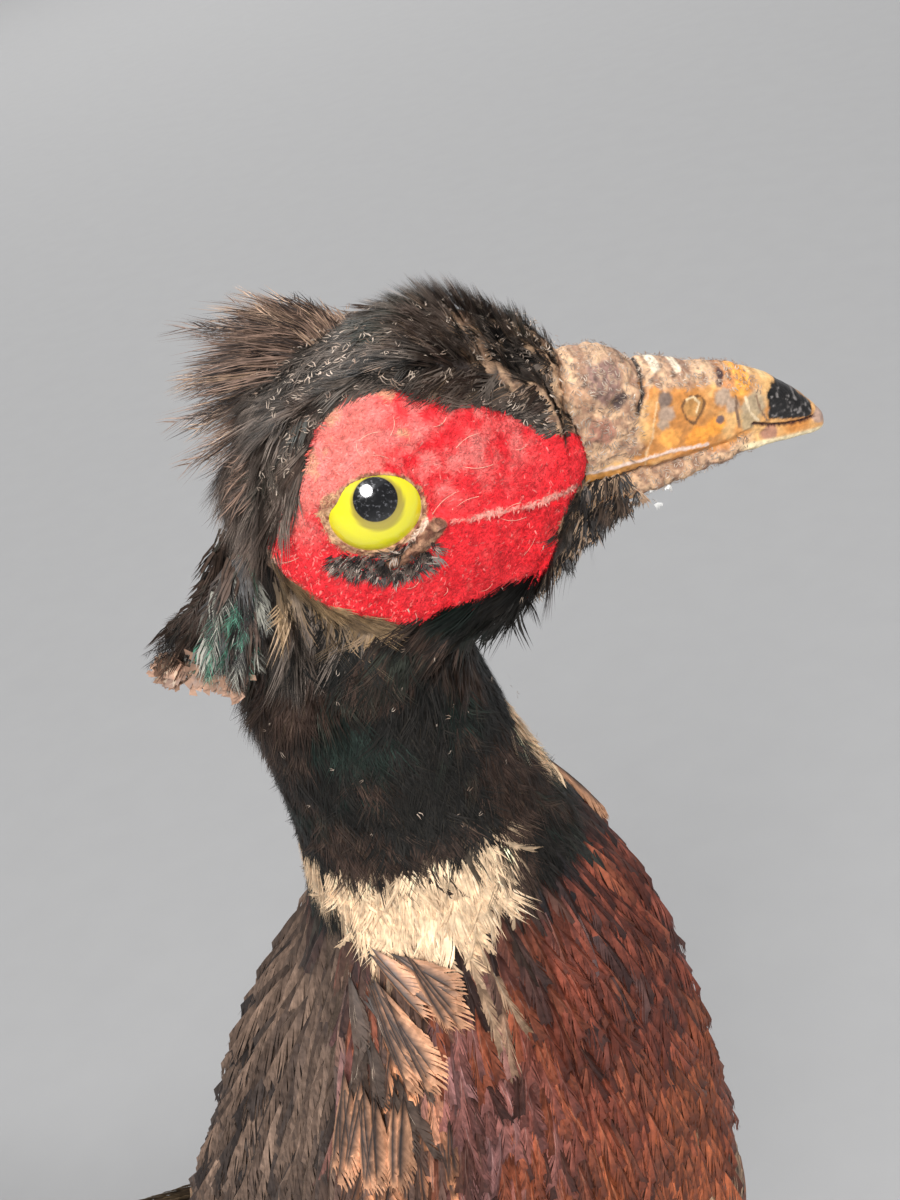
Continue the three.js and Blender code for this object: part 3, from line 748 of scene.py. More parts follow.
class Look:
    """A material's node tree, with short ways to add to it."""

    def __init__(self, name, **values):
        self.material = bpy.data.materials.new(name)
        self.material.use_nodes = True
        self.nodes = self.material.node_tree.nodes
        self.links = self.material.node_tree.links
        self.shader = self.nodes["Principled BSDF"]
        for label, value in values.items():
            self.shader.inputs[label.replace("_", " ")].default_value = value

    def node(self, kind, inputs=None, **settings):
        made = self.nodes.new("ShaderNode" + kind)
        for label, value in settings.items():
            setattr(made, label, value)
        for label, value in (inputs or {}).items():
            if isinstance(value, bpy.types.NodeSocket):
                self.links.new(value, made.inputs[label])
            else:
                made.inputs[label].default_value = value
        return made

    def places(self):
        return self.node("TexCoord").outputs["Object"]

    def tint(self, label="Tint"):
        return self.node("Attribute", attribute_name=label).outputs["Color"]

    def noise(self, scale, detail=3.0, stretch=(1, 1, 1), roughness=0.55):
        place = self.node("Mapping", {"Vector": self.places(), "Scale": stretch}).outputs["Vector"]
        values = {"Vector": place, "Scale": scale, "Detail": detail, "Roughness": roughness}
        return self.node("TexNoise", values).outputs["Fac"]

    def spread(self, value, low, high, start=0.0, end=1.0):
        """A value's range from start to end, moved to low to high."""
        inputs = {"Value": value, "From Min": start, "From Max": end, "To Min": low, "To Max": high}
        return self.node("MapRange", inputs).outputs["Result"]

    def blend(self, share, first, second, way="MIX"):
        made = self.node("Mix", data_type="RGBA", blend_type=way)
        for index, value in ((0, share), (6, first), (7, second)):
            if isinstance(value, bpy.types.NodeSocket):
                self.links.new(value, made.inputs[index])
            else:
                made.inputs[index].default_value = value
        return made.outputs[2]

    def times(self, first, second, way="MULTIPLY"):
        made = self.node("Math", operation=way)
        for index, value in enumerate((first, second)):
            if isinstance(value, bpy.types.NodeSocket):
                self.links.new(value, made.inputs[index])
            else:
                made.inputs[index].default_value = value
        return made.outputs[0]

    def shade(self, colour, low, high, fac):
        """The colour, darker or lighter by the factor's pattern."""
        level = self.spread(fac, low, high, 0.3, 0.7)
        grey = self.node("CombineColor", {"Red": level, "Green": level, "Blue": level}).outputs["Color"]
        return self.blend(1.0, colour, grey, "MULTIPLY")

    def join(self, label, socket):
        self.links.new(socket, self.shader.inputs[label])

    def bump(self, height, strength, distance):
        made = self.node("Bump", {"Height": height, "Strength": strength, "Distance": distance})
        self.join("Normal", made.outputs["Normal"])


def feather_material(name, gloss, **values):
    """Feather: the barbs' own colours, with fine streaks and a little sheen."""
    look = Look(name, Roughness=0.55, **values)
    fine = look.noise(900, 2.0)
    broad = look.noise(120, 2.0)
    colour = look.shade(look.tint(), 0.72, 1.3, fine)
    look.join("Base Color", look.shade(colour, 0.85, 1.15, broad))
    look.join("Roughness", look.spread(fine, gloss - 0.1, gloss + 0.15, 0.3, 0.7))
    return look.material


def skin_material():
    """Bare skin: flocked on the red face, scaly on the legs, and matt."""
    look = Look("skin_surface", Roughness=0.7, Specular_IOR_Level=0.35)
    masks = look.node("SeparateColor", {"Color": look.tint("Masks")})
    flocked, scaled = masks.outputs["Red"], masks.outputs["Green"]
    fibres = look.noise(2600, 3.0)
    grain = look.noise(700, 3.0)
    look.join("Base Color", look.shade(look.shade(look.tint(), 0.7, 1.35, fibres), 0.88, 1.12, grain))
    cells = look.node("TexVoronoi", {"Vector": look.places(), "Scale": 420.0}, feature="DISTANCE_TO_EDGE")
    scale_height = look.times(look.spread(cells.outputs["Distance"], 0, 1, 0, 0.12), scaled)
    pile = look.times(fibres, look.spread(flocked, 0.25, 0.9))
    look.bump(look.times(pile, scale_height, "ADD"), 0.9, 0.0006)
    look.join("Roughness", look.spread(flocked, 0.6, 0.92))
    return look.material


def horn_material(name, low, high, roughness):
    """Dry horn: its own tints, fine lengthwise wear, pits and a dull gloss."""
    look = Look(name, Roughness=roughness, Specular_IOR_Level=0.45)
    pits = look.noise(1500, 4.0)
    wear = look.noise(260, 4.0)
    look.join("Base Color", look.shade(look.shade(look.tint(), low, high, pits), 0.8, 1.2, wear))
    look.join("Roughness", look.spread(wear, roughness - 0.12, roughness + 0.2, 0.3, 0.7))
    look.bump(look.times(pits, wear, "ADD"), 0.55, 0.0005)
    return look.material


def bill_material():
    """The bill: smooth amber horn with a soft gloss, and dull crust where the mask says."""
    look = Look("bill_surface", Specular_IOR_Level=0.5)
    crust = look.node("SeparateColor", {"Color": look.tint("Masks")}).outputs["Red"]
    pits = look.noise(1500, 4.0)
    wear = look.noise(300, 4.0)
    look.join("Base Color", look.shade(look.shade(look.tint(), 0.78, 1.22, pits), 0.86, 1.14, wear))
    look.join("Roughness", look.spread(crust, 0.34, 0.85))
    look.bump(look.times(pits, look.spread(crust, 0.25, 1.0)), 0.7, 0.0006)
    return look.material


def wood_material():
    """Stained wood with grain along the plinth and pale wear in its pores."""
    look = Look("plinth_finish", Roughness=0.42, Coat_Weight=0.25, Coat_Roughness=0.25)
    bands = look.noise(16, 4.0, stretch=(0.35, 5.0, 5.0), roughness=0.6)
    grain = look.noise(240, 5.0, stretch=(0.06, 1.0, 1.0), roughness=0.65)
    colour = look.blend(look.spread(bands, 0, 1, 0.3, 0.7), (0.055, 0.022, 0.010, 1), (0.16, 0.07, 0.03, 1))
    look.join("Base Color", look.shade(colour, 0.6, 1.3, grain))
    look.join("Roughness", look.spread(grain, 0.34, 0.58, 0.3, 0.7))
    look.bump(grain, 0.3, 0.0006)
    return look.material


# ---- Feathers ------------------------------------------------------------------------------------


class Form:
    """One feather or tuft of unit size: across from -0.5 to 0.5, along from 0 to 1, and its height."""

    def __init__(self, strips):
        """Each strip is a list of rows (across, along, height), two abreast, which may end in one point."""
        points, faces, strand = [], [], []
        for number, strip in enumerate(strips):
            start = len(points)
            points += strip
            strand += [number] * len(strip)
            for k in range(len(strip) - 2):
                turn = (k, k + 1, k + 2) if k % 2 == 0 else (k + 1, k, k + 2)
                faces.append([start + i for i in turn])
        self.points = np.array(points, float)
        self.faces = np.array(faces)
        shades = np.random.default_rng(len(points)).random(len(strips))
        self.shade = shades[strand]
        self.shaft = np.array(strand) == 0


def wisp(rng, strands, thin, spread, curl=0.2, steps=2):
    """A tuft of loose hair-like barbs."""
    strips = []
    for _ in range(strands):
        root = (rng.random() - 0.5) * 0.8
        tip = root * (1 + spread) + (rng.random() - 0.5) * curl
        begin, end = 0.25 * rng.random(), 0.65 + 0.35 * rng.random()
        lift = 0.09 * rng.random()
        bow = (rng.random() - 0.5) * curl
        strip = []
        for step in range(steps):
            t = step / steps
            middle = root + (tip - root) * t + bow * math.sin(math.pi * t)
            along = begin + (end - begin) * t
            half = 0.5 * thin * (1 - 0.35 * t)
            strip += [(middle - half, along, lift * t), (middle + half, along, lift * t)]
        strip.append((tip, end, lift))
        strips.append(strip)
    return Form(strips)


def vane(rng, barbs, blunt=0.6, loose=0.35, sweep=0.2, downy=0.15, camber=0.25, ragged=0.06):
    """A feather's blade: a shaft with barbs that slant to its edge, and gaps where it is worn."""
    strips = [[(-0.012, 0, 0), (0.012, 0, 0), (-0.009, 0.5, 0.004), (0.009, 0.5, 0.004), (0, 0.97, 0)]]
    for side in (-1, 1):
        for number in range(barbs):
            start = downy + (0.93 - downy) * number / barbs
            step = (0.93 - downy) / barbs
            reach = start + sweep * (1 - 0.45 * start) + 0.02 * (rng.random() - 0.5)
            reach = min(reach, 1.0)
            if reach < blunt:
                profile = min(1.0, (reach / blunt) ** 0.75)
            else:
                profile = math.cos((reach - blunt) / (1.02 - blunt) * 1.45) ** 0.55
            wide = side * 0.5 * profile * (1 + ragged * (rng.random() - 0.5) * 2)
            if start > 0.86:
                wide *= 0.55
                reach = 0.97 + 0.05 * rng.random()
            tip_step = step * (1 - loose * rng.random())
            lift = ragged * 0.5 * (rng.random() - 0.5)
            drop = -camber * abs(wide)
            part_way = 0.6 * reach + 0.4 * start
            strips.append([
                (0, start, 0), (0, start + 1.15 * step, 0), (0.6 * wide, part_way - 0.03, 0.5 * drop),
                (0.6 * wide, part_way + 1.05 * tip_step - 0.03, 0.5 * drop),
                (wide, reach, drop + lift), (wide * 0.98, reach + 0.8 * tip_step, drop + lift),
            ])
    return Form(strips)


# The blades' shapes by place.
CREAM_VANE = dict(barbs=8, blunt=0.5, loose=0.6, sweep=0.4, downy=0.05, camber=0.3, ragged=0.2)
BREAST_VANE = dict(barbs=12, blunt=0.6, loose=0.4, sweep=0.55, downy=0.06, camber=0.35, ragged=0.16)
SHOULDER_VANE = dict(barbs=18, blunt=0.8, loose=0.12, sweep=0.35, downy=0.05, camber=0.3, ragged=0.07)
FLIGHT_VANE = dict(barbs=46, blunt=0.8, loose=0.15, sweep=0.1, downy=0.02, camber=0.12, ragged=0.03)
TAIL_VANE = dict(blunt=0.18, loose=0.12, downy=0.01, camber=0.16, ragged=0.03)


class Coat:
    """A joined mesh of many feathers."""

    def __init__(self, name, material, slot, replaced=()):
        self.name, self.material, self.slot, self.replaced = name, material, slot, replaced
        self.points, self.faces, self.tints, self.maps = [], [], [], []
        self.count = 0

    def add(self, points, faces, tints, maps):
        """Points and tints by copy and vertex, and the faces of one copy."""
        copies, size = points.shape[:2]
        offsets = self.count + size * np.arange(copies)
        self.points.append(points.reshape(-1, 3))
        self.faces.append((faces[None] + offsets[:, None, None]).reshape(-1, 3))
        self.tints.append(tints.reshape(-1, 3))
        self.maps.append(maps.reshape(-1, 2))
        self.count += copies * size

    def build(self):
        mesh_object(
            self.name, np.vstack(self.points), np.vstack(self.faces), self.material,
            {"Tint": np.vstack(self.tints)}, np.vstack(self.maps), smooth=False, replaced=self.replaced,
        )


def patches(roots, form, span):
    """The map: each feather is a small patch at its root's place on the skin, unwrapped along and round."""
    place = unwrapped(roots)
    low, high = span
    place[:, 0] = 0.01 + 0.97 * np.clip((place[:, 0] - low) / (high - low), 0, 1)
    place[:, 1] = 0.01 + 0.97 * place[:, 1]
    local = np.stack((form.points[:, 1], form.points[:, 0] + 0.5), -1) * PATCH
    return place[:, None] + local[None]


def feather_tints(form, roots, palette, rng, wild=0.35, tip_from=0.72, down=0.25, streaks=0.0):
    """Colours by copy and vertex: the shaft's, the edge's, darker at the root, and each barb's own."""
    base, rim, shaft, edge = (part[:, None] for part in palette)
    across, along = form.points[:, 0], form.points[:, 1]
    outer = np.maximum(ramp(0.26, 0.46, np.abs(across)) * 0.8, ramp(tip_from, tip_from + 0.16, along))
    share = outer[None, :, None] * edge[..., None]
    tint = base * (1 - share) + rim * share
    tint = np.where(form.shaft[None, :, None], shaft, tint)
    stripe = ramp(0.22, 0.04, np.abs(across)) * ramp(0.95, 0.8, along)
    dark_core = (base[..., 0] > 2.2 * base[..., 2]) * (shaft[..., 0] < 0.2 * base[..., 0])
    tint = mix(tint, np.broadcast_to(shaft, tint.shape), stripe[None] * dark_core)
    root = ramp(down + 0.12, down - 0.12, along)[None, :, None]
    tint = tint * (1 - 0.55 * root)
    own = 1 + wild * (rng.random((len(roots), 1, 1)) - 0.5) * 2
    barb = 1 + wild * 1.2 * (form.shade[None, :, None] - 0.5)
    # Some barbs in each tuft are lightened: partly worn, dusty strands, partly painted glints.
    light = rng.random((len(roots), 1, 1)) ** 2 * (form.shade[None, :, None] > 1 - streaks)
    return tint * own * barb + light * np.array(STREAK_AND_GLINT)


def placed(form, roots, normals, ways, length, width, tilt, bend=0.3, sway=0.0):
    """Copies of a form at these roots, tilted up from the skin by degrees and bent over their length."""
    across = np.cross(ways, normals)
    slope = np.radians(tilt)[:, None]
    along = ways * np.cos(slope) + normals * np.sin(slope)
    up = normals * np.cos(slope) - ways * np.sin(slope)
    unit_x, unit_y, unit_z = form.points.T[:, None]
    x = unit_x * width[:, None]
    y = unit_y * length[:, None]
    z = (unit_z - 0.5 * bend * unit_y**2) * length[:, None]
    if np.ndim(sway):
        x = x + sway[:, None] * y * unit_y
    return spread_out(roots, (x, across), (y, along), (z, up))


def spread_out(roots, *parts):
    """Each copy's points from its root: distances by copy and vertex along a direction by copy."""
    points = roots[:, None]
    for distance, direction in parts:
        points = points + distance[..., None] * direction[:, None]
    return points


class Surface:
    """The skin's triangles, to take places from."""

    def __init__(self, points, faces):
        corners = points[faces]
        facing = np.cross(corners[:, 1] - corners[:, 0], corners[:, 2] - corners[:, 0])
        self.corners, self.area = corners, np.linalg.norm(facing, axis=1) / 2
        self.middle = corners.mean(1)
        self.normals = normals_of(points, faces)[faces]

    def places(self, rng, where, gap):
        """Places about gap apart on the triangles where says, with their normals."""
        chosen = np.flatnonzero(where(self.middle))
        area = self.area[chosen]
        wanted = int(area.sum() / gap**2 * 3.2)
        drawn = np.searchsorted(np.cumsum(area) / area.sum(), rng.random(wanted))
        pick = chosen[drawn.clip(0, len(chosen) - 1)]
        u, v = rng.random((2, wanted, 1))
        flip = u + v > 1
        u, v = np.where(flip, 1 - u, u), np.where(flip, 1 - v, v)
        weights = np.stack((1 - u - v, u, v), 1)
        found = (self.corners[pick] * weights).sum(1)
        facing = unit((self.normals[pick] * weights).sum(1))
        cell = np.floor(found / gap).astype(np.int64) + 4000
        key = cell[:, 0] * 64000000 + cell[:, 1] * 8000 + cell[:, 2]
        _, first = np.unique(key, return_index=True)
        first = first[rng.permutation(len(first))]
        return found[first], facing[first]


# ---- Where each coat lies ------------------------------------------------------------------------


def height_of(points):
    """Heights from the head's middle."""
    return points[:, 2] - HEAD_AT[2]


def on_head(points):
    q = to_head(points)
    front = q[:, 0] + 9 * wobble(q, 1.5, 58) - 2.5 * ramp(5, 9, q[:, 2])
    by_gape = np.hypot(q[:, 0] - 25.4, q[:, 2] - 0.6) < 1.7
    strip = forehead_gap(q) + 2.4 * wobble(q, 1.4, 59)
    bare = (((front > 24) | (strip < 0.5)) & ~by_gape) | (corner_share(q) > 0.5)
    return (height_of(points) > HEAD_END) & (face_distance(q) > 0.25) & ~bare


def wing_reach(points):
    """How far out of the wing's edge each point is, as a share of the wing's half height."""
    best = np.full(len(points), 9.0)
    for side in (-1, 1):
        line, out, up, sizes = wing_frame(side, 40)
        away = points[:, None] - line[None]
        nearest = (away**2).sum(-1).argmin(1)
        offset = away[np.arange(len(points)), nearest]
        high = (offset * up[nearest]).sum(1)
        proud = (offset * out[nearest]).sum(1) + WING_CURL * high**2
        reach = np.abs(high) / sizes[nearest, 1] + 4 * (proud < -sizes[nearest, 0] - 2)
        best = np.minimum(best, reach + 4 * (nearest == 0) + 4 * (nearest == 39))
    return best


def cover(coat, surface, where, gap, forms, length, width, tilt, bend, span, **looks):
    """Feathers all over a stretch of skin. Length, width and tilt are numbers or go by place."""
    rng = np.random.default_rng(len(coat.name) * 100 + int(gap * 10))
    roots, normals = surface.places(rng, where, gap)
    ways = lie(roots, normals)
    count = len(roots)
    swing, curl = looks.pop("swing", 0.16), looks.pop("curl", 0.25)
    ways = unit(ways + np.cross(normals, ways) * swing * rng.standard_normal((count, 1)))
    sizes = [np.broadcast_to(s(roots) if callable(s) else s, count) for s in (length, width, tilt)]
    sizes = [s * (1 + 0.3 * (rng.random(count) - 0.5)) for s in sizes]
    palette = looks.pop("palette", markings)(roots, 2.4 * (rng.random(count) - 0.5))
    kind = rng.integers(len(forms), size=count)
    sway = curl * rng.standard_normal(count)
    for number, form in enumerate(forms):
        own = kind == number
        spots = placed(form, roots[own], normals[own], ways[own], *(s[own] for s in sizes), bend, sway[own])
        tints = feather_tints(form, roots[own], [part[own] for part in palette], rng, **looks)
        coat.add(spots, form.faces, tints, patches(roots[own], form, span))


def head_length(points):
    """Short at the bill and face, longer at the nape and chin."""
    q = to_head(points)
    short = ramp(16, 25, q[:, 0])
    nape = ramp(0, -10, q[:, 0]) * ramp(4, -4, q[:, 2] - 10)
    chin = ramp(-12, -18, q[:, 2]) * ramp(6, 14, q[:, 0])
    behind = ramp(-3, -11, q[:, 0])
    return 5.6 - 2.6 * short + 2.0 * nape + 2.2 * behind + 1.5 * chin


def head_tilt(points):
    """How many degrees the down stands up: most on the forehead."""
    q = to_head(points)
    chin = ramp(-12, -18, q[:, 2]) * ramp(8, 15, q[:, 0])
    forehead = ramp(8, 15, q[:, 0]) * ramp(7, 12, q[:, 2])
    return 9 + 14 * chin + 36 * forehead - 3 * ramp(-3, -11, q[:, 0])


def head_markings(points, jitter):
    """The head's own marks on the black: a golden brown fold under the face, and dusty tan bits."""
    base, rim, shaft, edge = markings(points, jitter)
    q = to_head(points)
    far = edge_distance(q[:, [0, 2]], FACE_OUTLINE)
    fold = ramp(1.8, 0.8, far) * ramp(1, -3, q[:, 0]) * ramp(-3, -7, q[:, 2]) * (np.abs(q[:, 1]) > 6)
    gold = mix((0.10, 0.06, 0.03), (0.36, 0.23, 0.11), rough(points, 1.2, 61))
    base, rim, shaft = mix(base, gold, fold), mix(rim, 0.7 * gold, fold), mix(shaft, 1.3 * gold, fold)
    behind = 0.75 * ramp(-2, -9, q[:, 0]) * ramp(-14, -6, q[:, 2]) * rough(points, 3.5, 62)
    brown = np.array((0.085, 0.055, 0.042))
    base, rim = mix(base, brown, behind), mix(rim, brown, behind)
    dust = (spot_value(np.floor(points * 3), 63) > 0.93) * ramp(2, 10, q[:, 0])
    tan = np.array((0.30, 0.19, 0.12))
    return mix(base, tan, 0.8 * dust), mix(rim, tan, 0.8 * dust), shaft, edge


def make_coats(surface):
    """The coat from the head down: black down, cream ring, breast, mantle and body feathers."""
    rng = np.random.default_rng(5)
    green_gloss, pink_gloss = (0.94, 1, 0.96, 1), (1, 0.9, 0.97, 1)
    dark = feather_material("dark_plumage", 0.5, Specular_IOR_Level=0.32, Specular_Tint=green_gloss)
    red = feather_material("chestnut_plumage", 0.45, Specular_IOR_Level=0.45, Specular_Tint=pink_gloss)
    down = [wisp(rng, strands=9, thin=0.11, spread=0.4) for _ in range(7)]
    cream = [vane(rng, **CREAM_VANE) for _ in range(3)]
    cream += [wisp(rng, strands=10, thin=0.14, spread=0.3, curl=0.2) for _ in range(3)]
    breast = [vane(rng, **BREAST_VANE) for _ in range(7)]
    plain = [vane(rng, barbs=9, ragged=0.08, loose=0.3) for _ in range(5)]

    head = Coat("plumage_head", dark, "dark_feather")
    # Many barbs on the head are lightened: partly dusty strands, partly painted glints.
    cover(
        head, surface, on_head, gap=0.66, forms=down, length=head_length, width=1.6, tilt=head_tilt,
        bend=0.2, span=(0, 0.14), palette=head_markings, streaks=0.6, swing=0.22, wild=0.6,
    )

    upper = Coat("plumage_neck", dark, "dark_feather")

    def on_neck(p):
        height = height_of(p)
        return (height <= HEAD_END) & (height > RING_TOP - 9) & (ring_share(height, rounded(p)) < 0.5)

    cover(
        upper, surface, on_neck, gap=0.82, forms=down, length=8.0, width=2.0, tilt=11, bend=0.3,
        span=(0.05, 0.3), streaks=0.16, swing=0.2, wild=0.7,
    )

    ring = Coat("plumage_ring", dark, "dark_feather")

    def on_ring(p):
        return ring_share(height_of(p), rounded(p)) >= 0.5

    cover(
        ring, surface, on_ring, gap=1.1, forms=cream, length=7.6, width=2.3, tilt=16, bend=0.3,
        span=(0.1, 0.35), wild=0.22, down=0.05,
    )

    def breast_end(p):
        return BREAST_END + 22 * (noise(p, 15, 24) - 0.5) * ramp(60, 90, np.abs(rounded(p)))

    def on_breast(p):
        height = height_of(p)
        return (height <= RING_TOP - 6) & (height > breast_end(p)) & (ring_share(height, rounded(p)) < 0.5)

    def before(p):
        return on_breast(p) & (np.abs(rounded(p)) < MANTLE_EDGE)

    def behind(p):
        return on_breast(p) & (np.abs(rounded(p)) >= MANTLE_EDGE)

    front = Coat("plumage_breast", red, "chestnut_feather")
    cover(
        front, surface, before, gap=2.3, forms=breast, length=11.5, width=4.0, tilt=13, bend=0.3,
        span=(0.15, 0.6), swing=0.10, curl=0.09, tip_from=0.82, wild=0.5,
    )
    mantle = Coat("plumage_mantle", red, "chestnut_feather")

    def mantle_tilt(p):
        return 11 + 11 * ramp(-62, -74, height_of(p)) * ramp(110, 140, np.abs(rounded(p)))

    cover(
        mantle, surface, behind, gap=2.6, forms=breast, length=14, width=4.4, tilt=mantle_tilt,
        bend=0.3, span=(0.15, 0.6), swing=0.09, curl=0.08, tip_from=0.82, wild=0.5,
    )

    rest = Coat("plumage_body", red, "chestnut_feather")

    def on_body(p):
        return (height_of(p) <= breast_end(p)) & (p[:, 2] > LEG_TOP - 2) & (wing_reach(p) > 0.85)

    def body_length(p):
        return 19 - 6 * ramp(170, 120, p[:, 2]) * (p[:, 0] > -70) - 4 * in_front(p)

    def body_width(p):
        return 10 - 3 * in_front(p)

    def body_tilt(p):
        return 8 - 4 * in_front(p)

    def in_front(p):
        return ramp(96, 60, np.abs(rounded(p)))

    cover(
        rest, surface, on_body, gap=5.2, forms=plain, length=body_length, width=body_width,
        tilt=body_tilt, bend=0.35, span=(0.3, 1), swing=0.09, curl=0.08, wild=0.2,
    )
    for coat in (head, upper, ring, front, mantle, rest):
        coat.build()


# ---- Wings and tail ------------------------------------------------------------------------------

# The folded wing's middle line from the wrist back, as offsets from the head's middle for the left
# wing, with its half thickness and half height.
WING = (
    (-54, 45, -172, 2, 6), (-63, 50, -182, 5, 20), (-85, 54, -204, 7, 31), (-113, 52, -227, 7, 32),
    (-146, 44, -244, 6, 25), (-180, 32, -252, 5, 17), (-212, 21, -259, 3.4, 8.5), (-238, 15, -265, 1.2, 3),
)
WING_CURL = 0.0105  # how much the wing's outer face falls off towards its edges


def wing_frame(side, count):
    """The wing's line, its outward and upward directions, and its half sizes, from wrist to tip."""
    rows = np.array(WING, float)
    line = through(rows[:, :3] * (1, side, 1) + HEAD_AT, count)
    way = unit(np.gradient(line, axis=0))
    out = np.array((0.12, side, 0.16))
    out = square(out, way)
    up = np.cross(way, out)
    return line, out, up * np.sign(up[:, 2:]), through(rows[:, 3:], count)


def wing_places(side, share, level):
    """Places on the wing's outer face by share of its length and level, with their normals and ways."""
    line, out, up, sizes = wing_frame(side, 200)
    share, level = np.asarray(share, float), np.asarray(level, float)

    def at(s, v):
        index = np.clip(s, 0, 1) * 199
        low = np.minimum(index.astype(int), 198)
        f = (index - low)[:, None]
        blend = [t[low] * (1 - f) + t[low + 1] * f for t in (line, out, up, sizes)]
        high = v[:, None] * blend[3][:, 1:] * 0.97
        proud = blend[3][:, :1] * np.sqrt(np.maximum(0, 1 - v[:, None] ** 2)) - WING_CURL * high**2
        return blend[0] + blend[1] * proud + blend[2] * high

    here = at(share, level)
    way = unit(at(share + 0.01, level) - at(share - 0.01, level))
    over = at(share, np.minimum(level + 0.05, 1)) - at(share, np.maximum(level - 0.05, -1))
    normal = unit(np.cross(way, over))
    normal *= np.sign((normal[:, 1] * side))[:, None]
    return here, normal, way


def bent(form, line, normals, width, lift):
    """One copy of a form along a line of points, its face turned by the normals."""
    way = unit(np.gradient(line, axis=0))
    across = unit(np.cross(way, normals))
    at = form.points[:, 1] * (len(line) - 1)
    low = np.clip(at.astype(int), 0, len(line) - 2)
    f = (at - low)[:, None]
    facing = np.broadcast_to(normals, line.shape)
    here, side, up = (t[low] * (1 - f) + t[low + 1] * f for t in (line, across, facing))
    return here + side * form.points[:, :1] * width + up * (form.points[:, 2:] * width + lift)


def barred(form, base, bar, rim, shaft, bars, rng):
    """Tints of one long feather with slanting bars across it, which fade at its pale rim."""
    across, along = form.points[:, 0], form.points[:, 1]
    phase = along * bars - 1.2 * np.abs(across) + 0.15 * rng.standard_normal()
    dark = ramp(0.62, 0.72, np.abs(phase % 1 - 0.5) * 2)
    tint = mix(base, bar, dark)
    tint = mix(tint, rim, ramp(0.3, 0.48, np.abs(across)) * (1 - 0.35 * dark))
    tint = np.where(form.shaft[:, None], shaft, tint)
    return tint * (0.8 + 0.4 * form.shade[:, None])


def rows_of(count, rows, jitter, rng):
    """Staggered places in rows, along and across, both from 0 to 1, with a little jitter."""
    places = []
    for row in range(rows):
        for number in range(count):
            along = (row + jitter * (rng.random() - 0.5)) / max(rows - 1, 1)
            level = (number + 0.5 + 0.5 * (row % 2) + jitter * (rng.random() - 0.5)) / (count + 0.5)
            places.append((along, level))
    return np.array(places)


# Primaries and secondaries: the lowest and highest levels, where all start, where the lowest and
# the highest end, how many, their breadth and their bars.
FLIGHT_FEATHERS = (
    (-0.95, -0.35, 0.56, (0.99, 0.9), 8, 13, 16), (-0.9, 0.8, 0.4, (0.86, 0.76), 12, 17, 11),
)
# Coverts: where each kind starts and stops, its rows, how many in each, length, breadth and colour.
COVERTS = (
    (0.36, 0.47, 2, 13, 32, 13, (0.16, 0.145, 0.115)), (0.2, 0.36, 4, 12, 22, 11, (0.16, 0.145, 0.115)),
    (0.03, 0.2, 6, 11, 15, 9, (0.13, 0.09, 0.06)),
)


def make_wing(side, name):
    """One folded wing: its flight feathers, then rows of coverts over their roots."""
    rng = np.random.default_rng(70 + side)
    material = feather_material("wing_plumage_" + name, 0.5, Specular_IOR_Level=0.4)
    coat = Coat("plumage_wing_" + name, material, "wing_feather")
    buff, brown = np.array((0.34, 0.23, 0.13)), np.array((0.075, 0.05, 0.033))
    shaft = np.array((0.2, 0.14, 0.09))
    span = (0.5, 1.0)
    # Primaries and secondaries, from the lowest up, each along the wing's face.
    for lowest, highest, start, stop, count, width, bars in FLIGHT_FEATHERS:
        for number in range(count):
            share = number / (count - 1)
            level = lowest + (highest - lowest) * share
            end = stop[0] + (stop[1] - stop[0]) * share
            t = np.linspace(start + 0.03 * rng.random(), end, 14)
            converge = np.linspace(level, level * 0.55 - 0.1, 14)
            line, normals, _ = wing_places(side, t, converge)
            form = vane(rng, **FLIGHT_VANE)
            spots = bent(form, line, normals, width, lift=0.25 + 1.1 * share)
            tints = barred(form, brown, 0.45 * brown, buff * 0.8, shaft, bars, rng)
            coat.add(spots[None], form.faces, tints[None], patches(line[:1], form, span))
    # Coverts, the greater ones first, then smaller ones forward.
    for start, stop, rows, count, length, width, base in COVERTS:
        base = np.array(base)
        forms = [vane(rng, barbs=12, blunt=0.65, ragged=0.07, loose=0.3) for _ in range(4)]
        along, level = rows_of(count, rows, 0.5, rng).T
        roots, normals, ways = wing_places(side, start + (stop - start) * along, -0.95 + 1.9 * level)
        for number, form in enumerate(forms):
            own = np.arange(len(roots)) % len(forms) == number
            root, normal, way = roots[own], normals[own], ways[own]
            size = np.full(own.sum(), 1.0)
            tone = 1 + 0.5 * (rng.random((own.sum(), 1)) - 0.5)
            palette = (base * tone, buff * tone, 1.4 * base * tone, np.full(own.sum(), 0.85))
            spots = placed(form, root, normal, way, length * size, width * size, 7 * size, bend=0.2)
            tints = feather_tints(form, root, palette, rng, wild=0.2)
            coat.add(spots + normal[:, None] * 0.8, form.faces, tints, patches(root, form, span))
    coat.build()


# Degrees, and millimetres in the model's frame.
TAIL = {"pairs": 8, "longest": 450, "droop": 9, "root": (-126, 0, 155), "sag": 18}


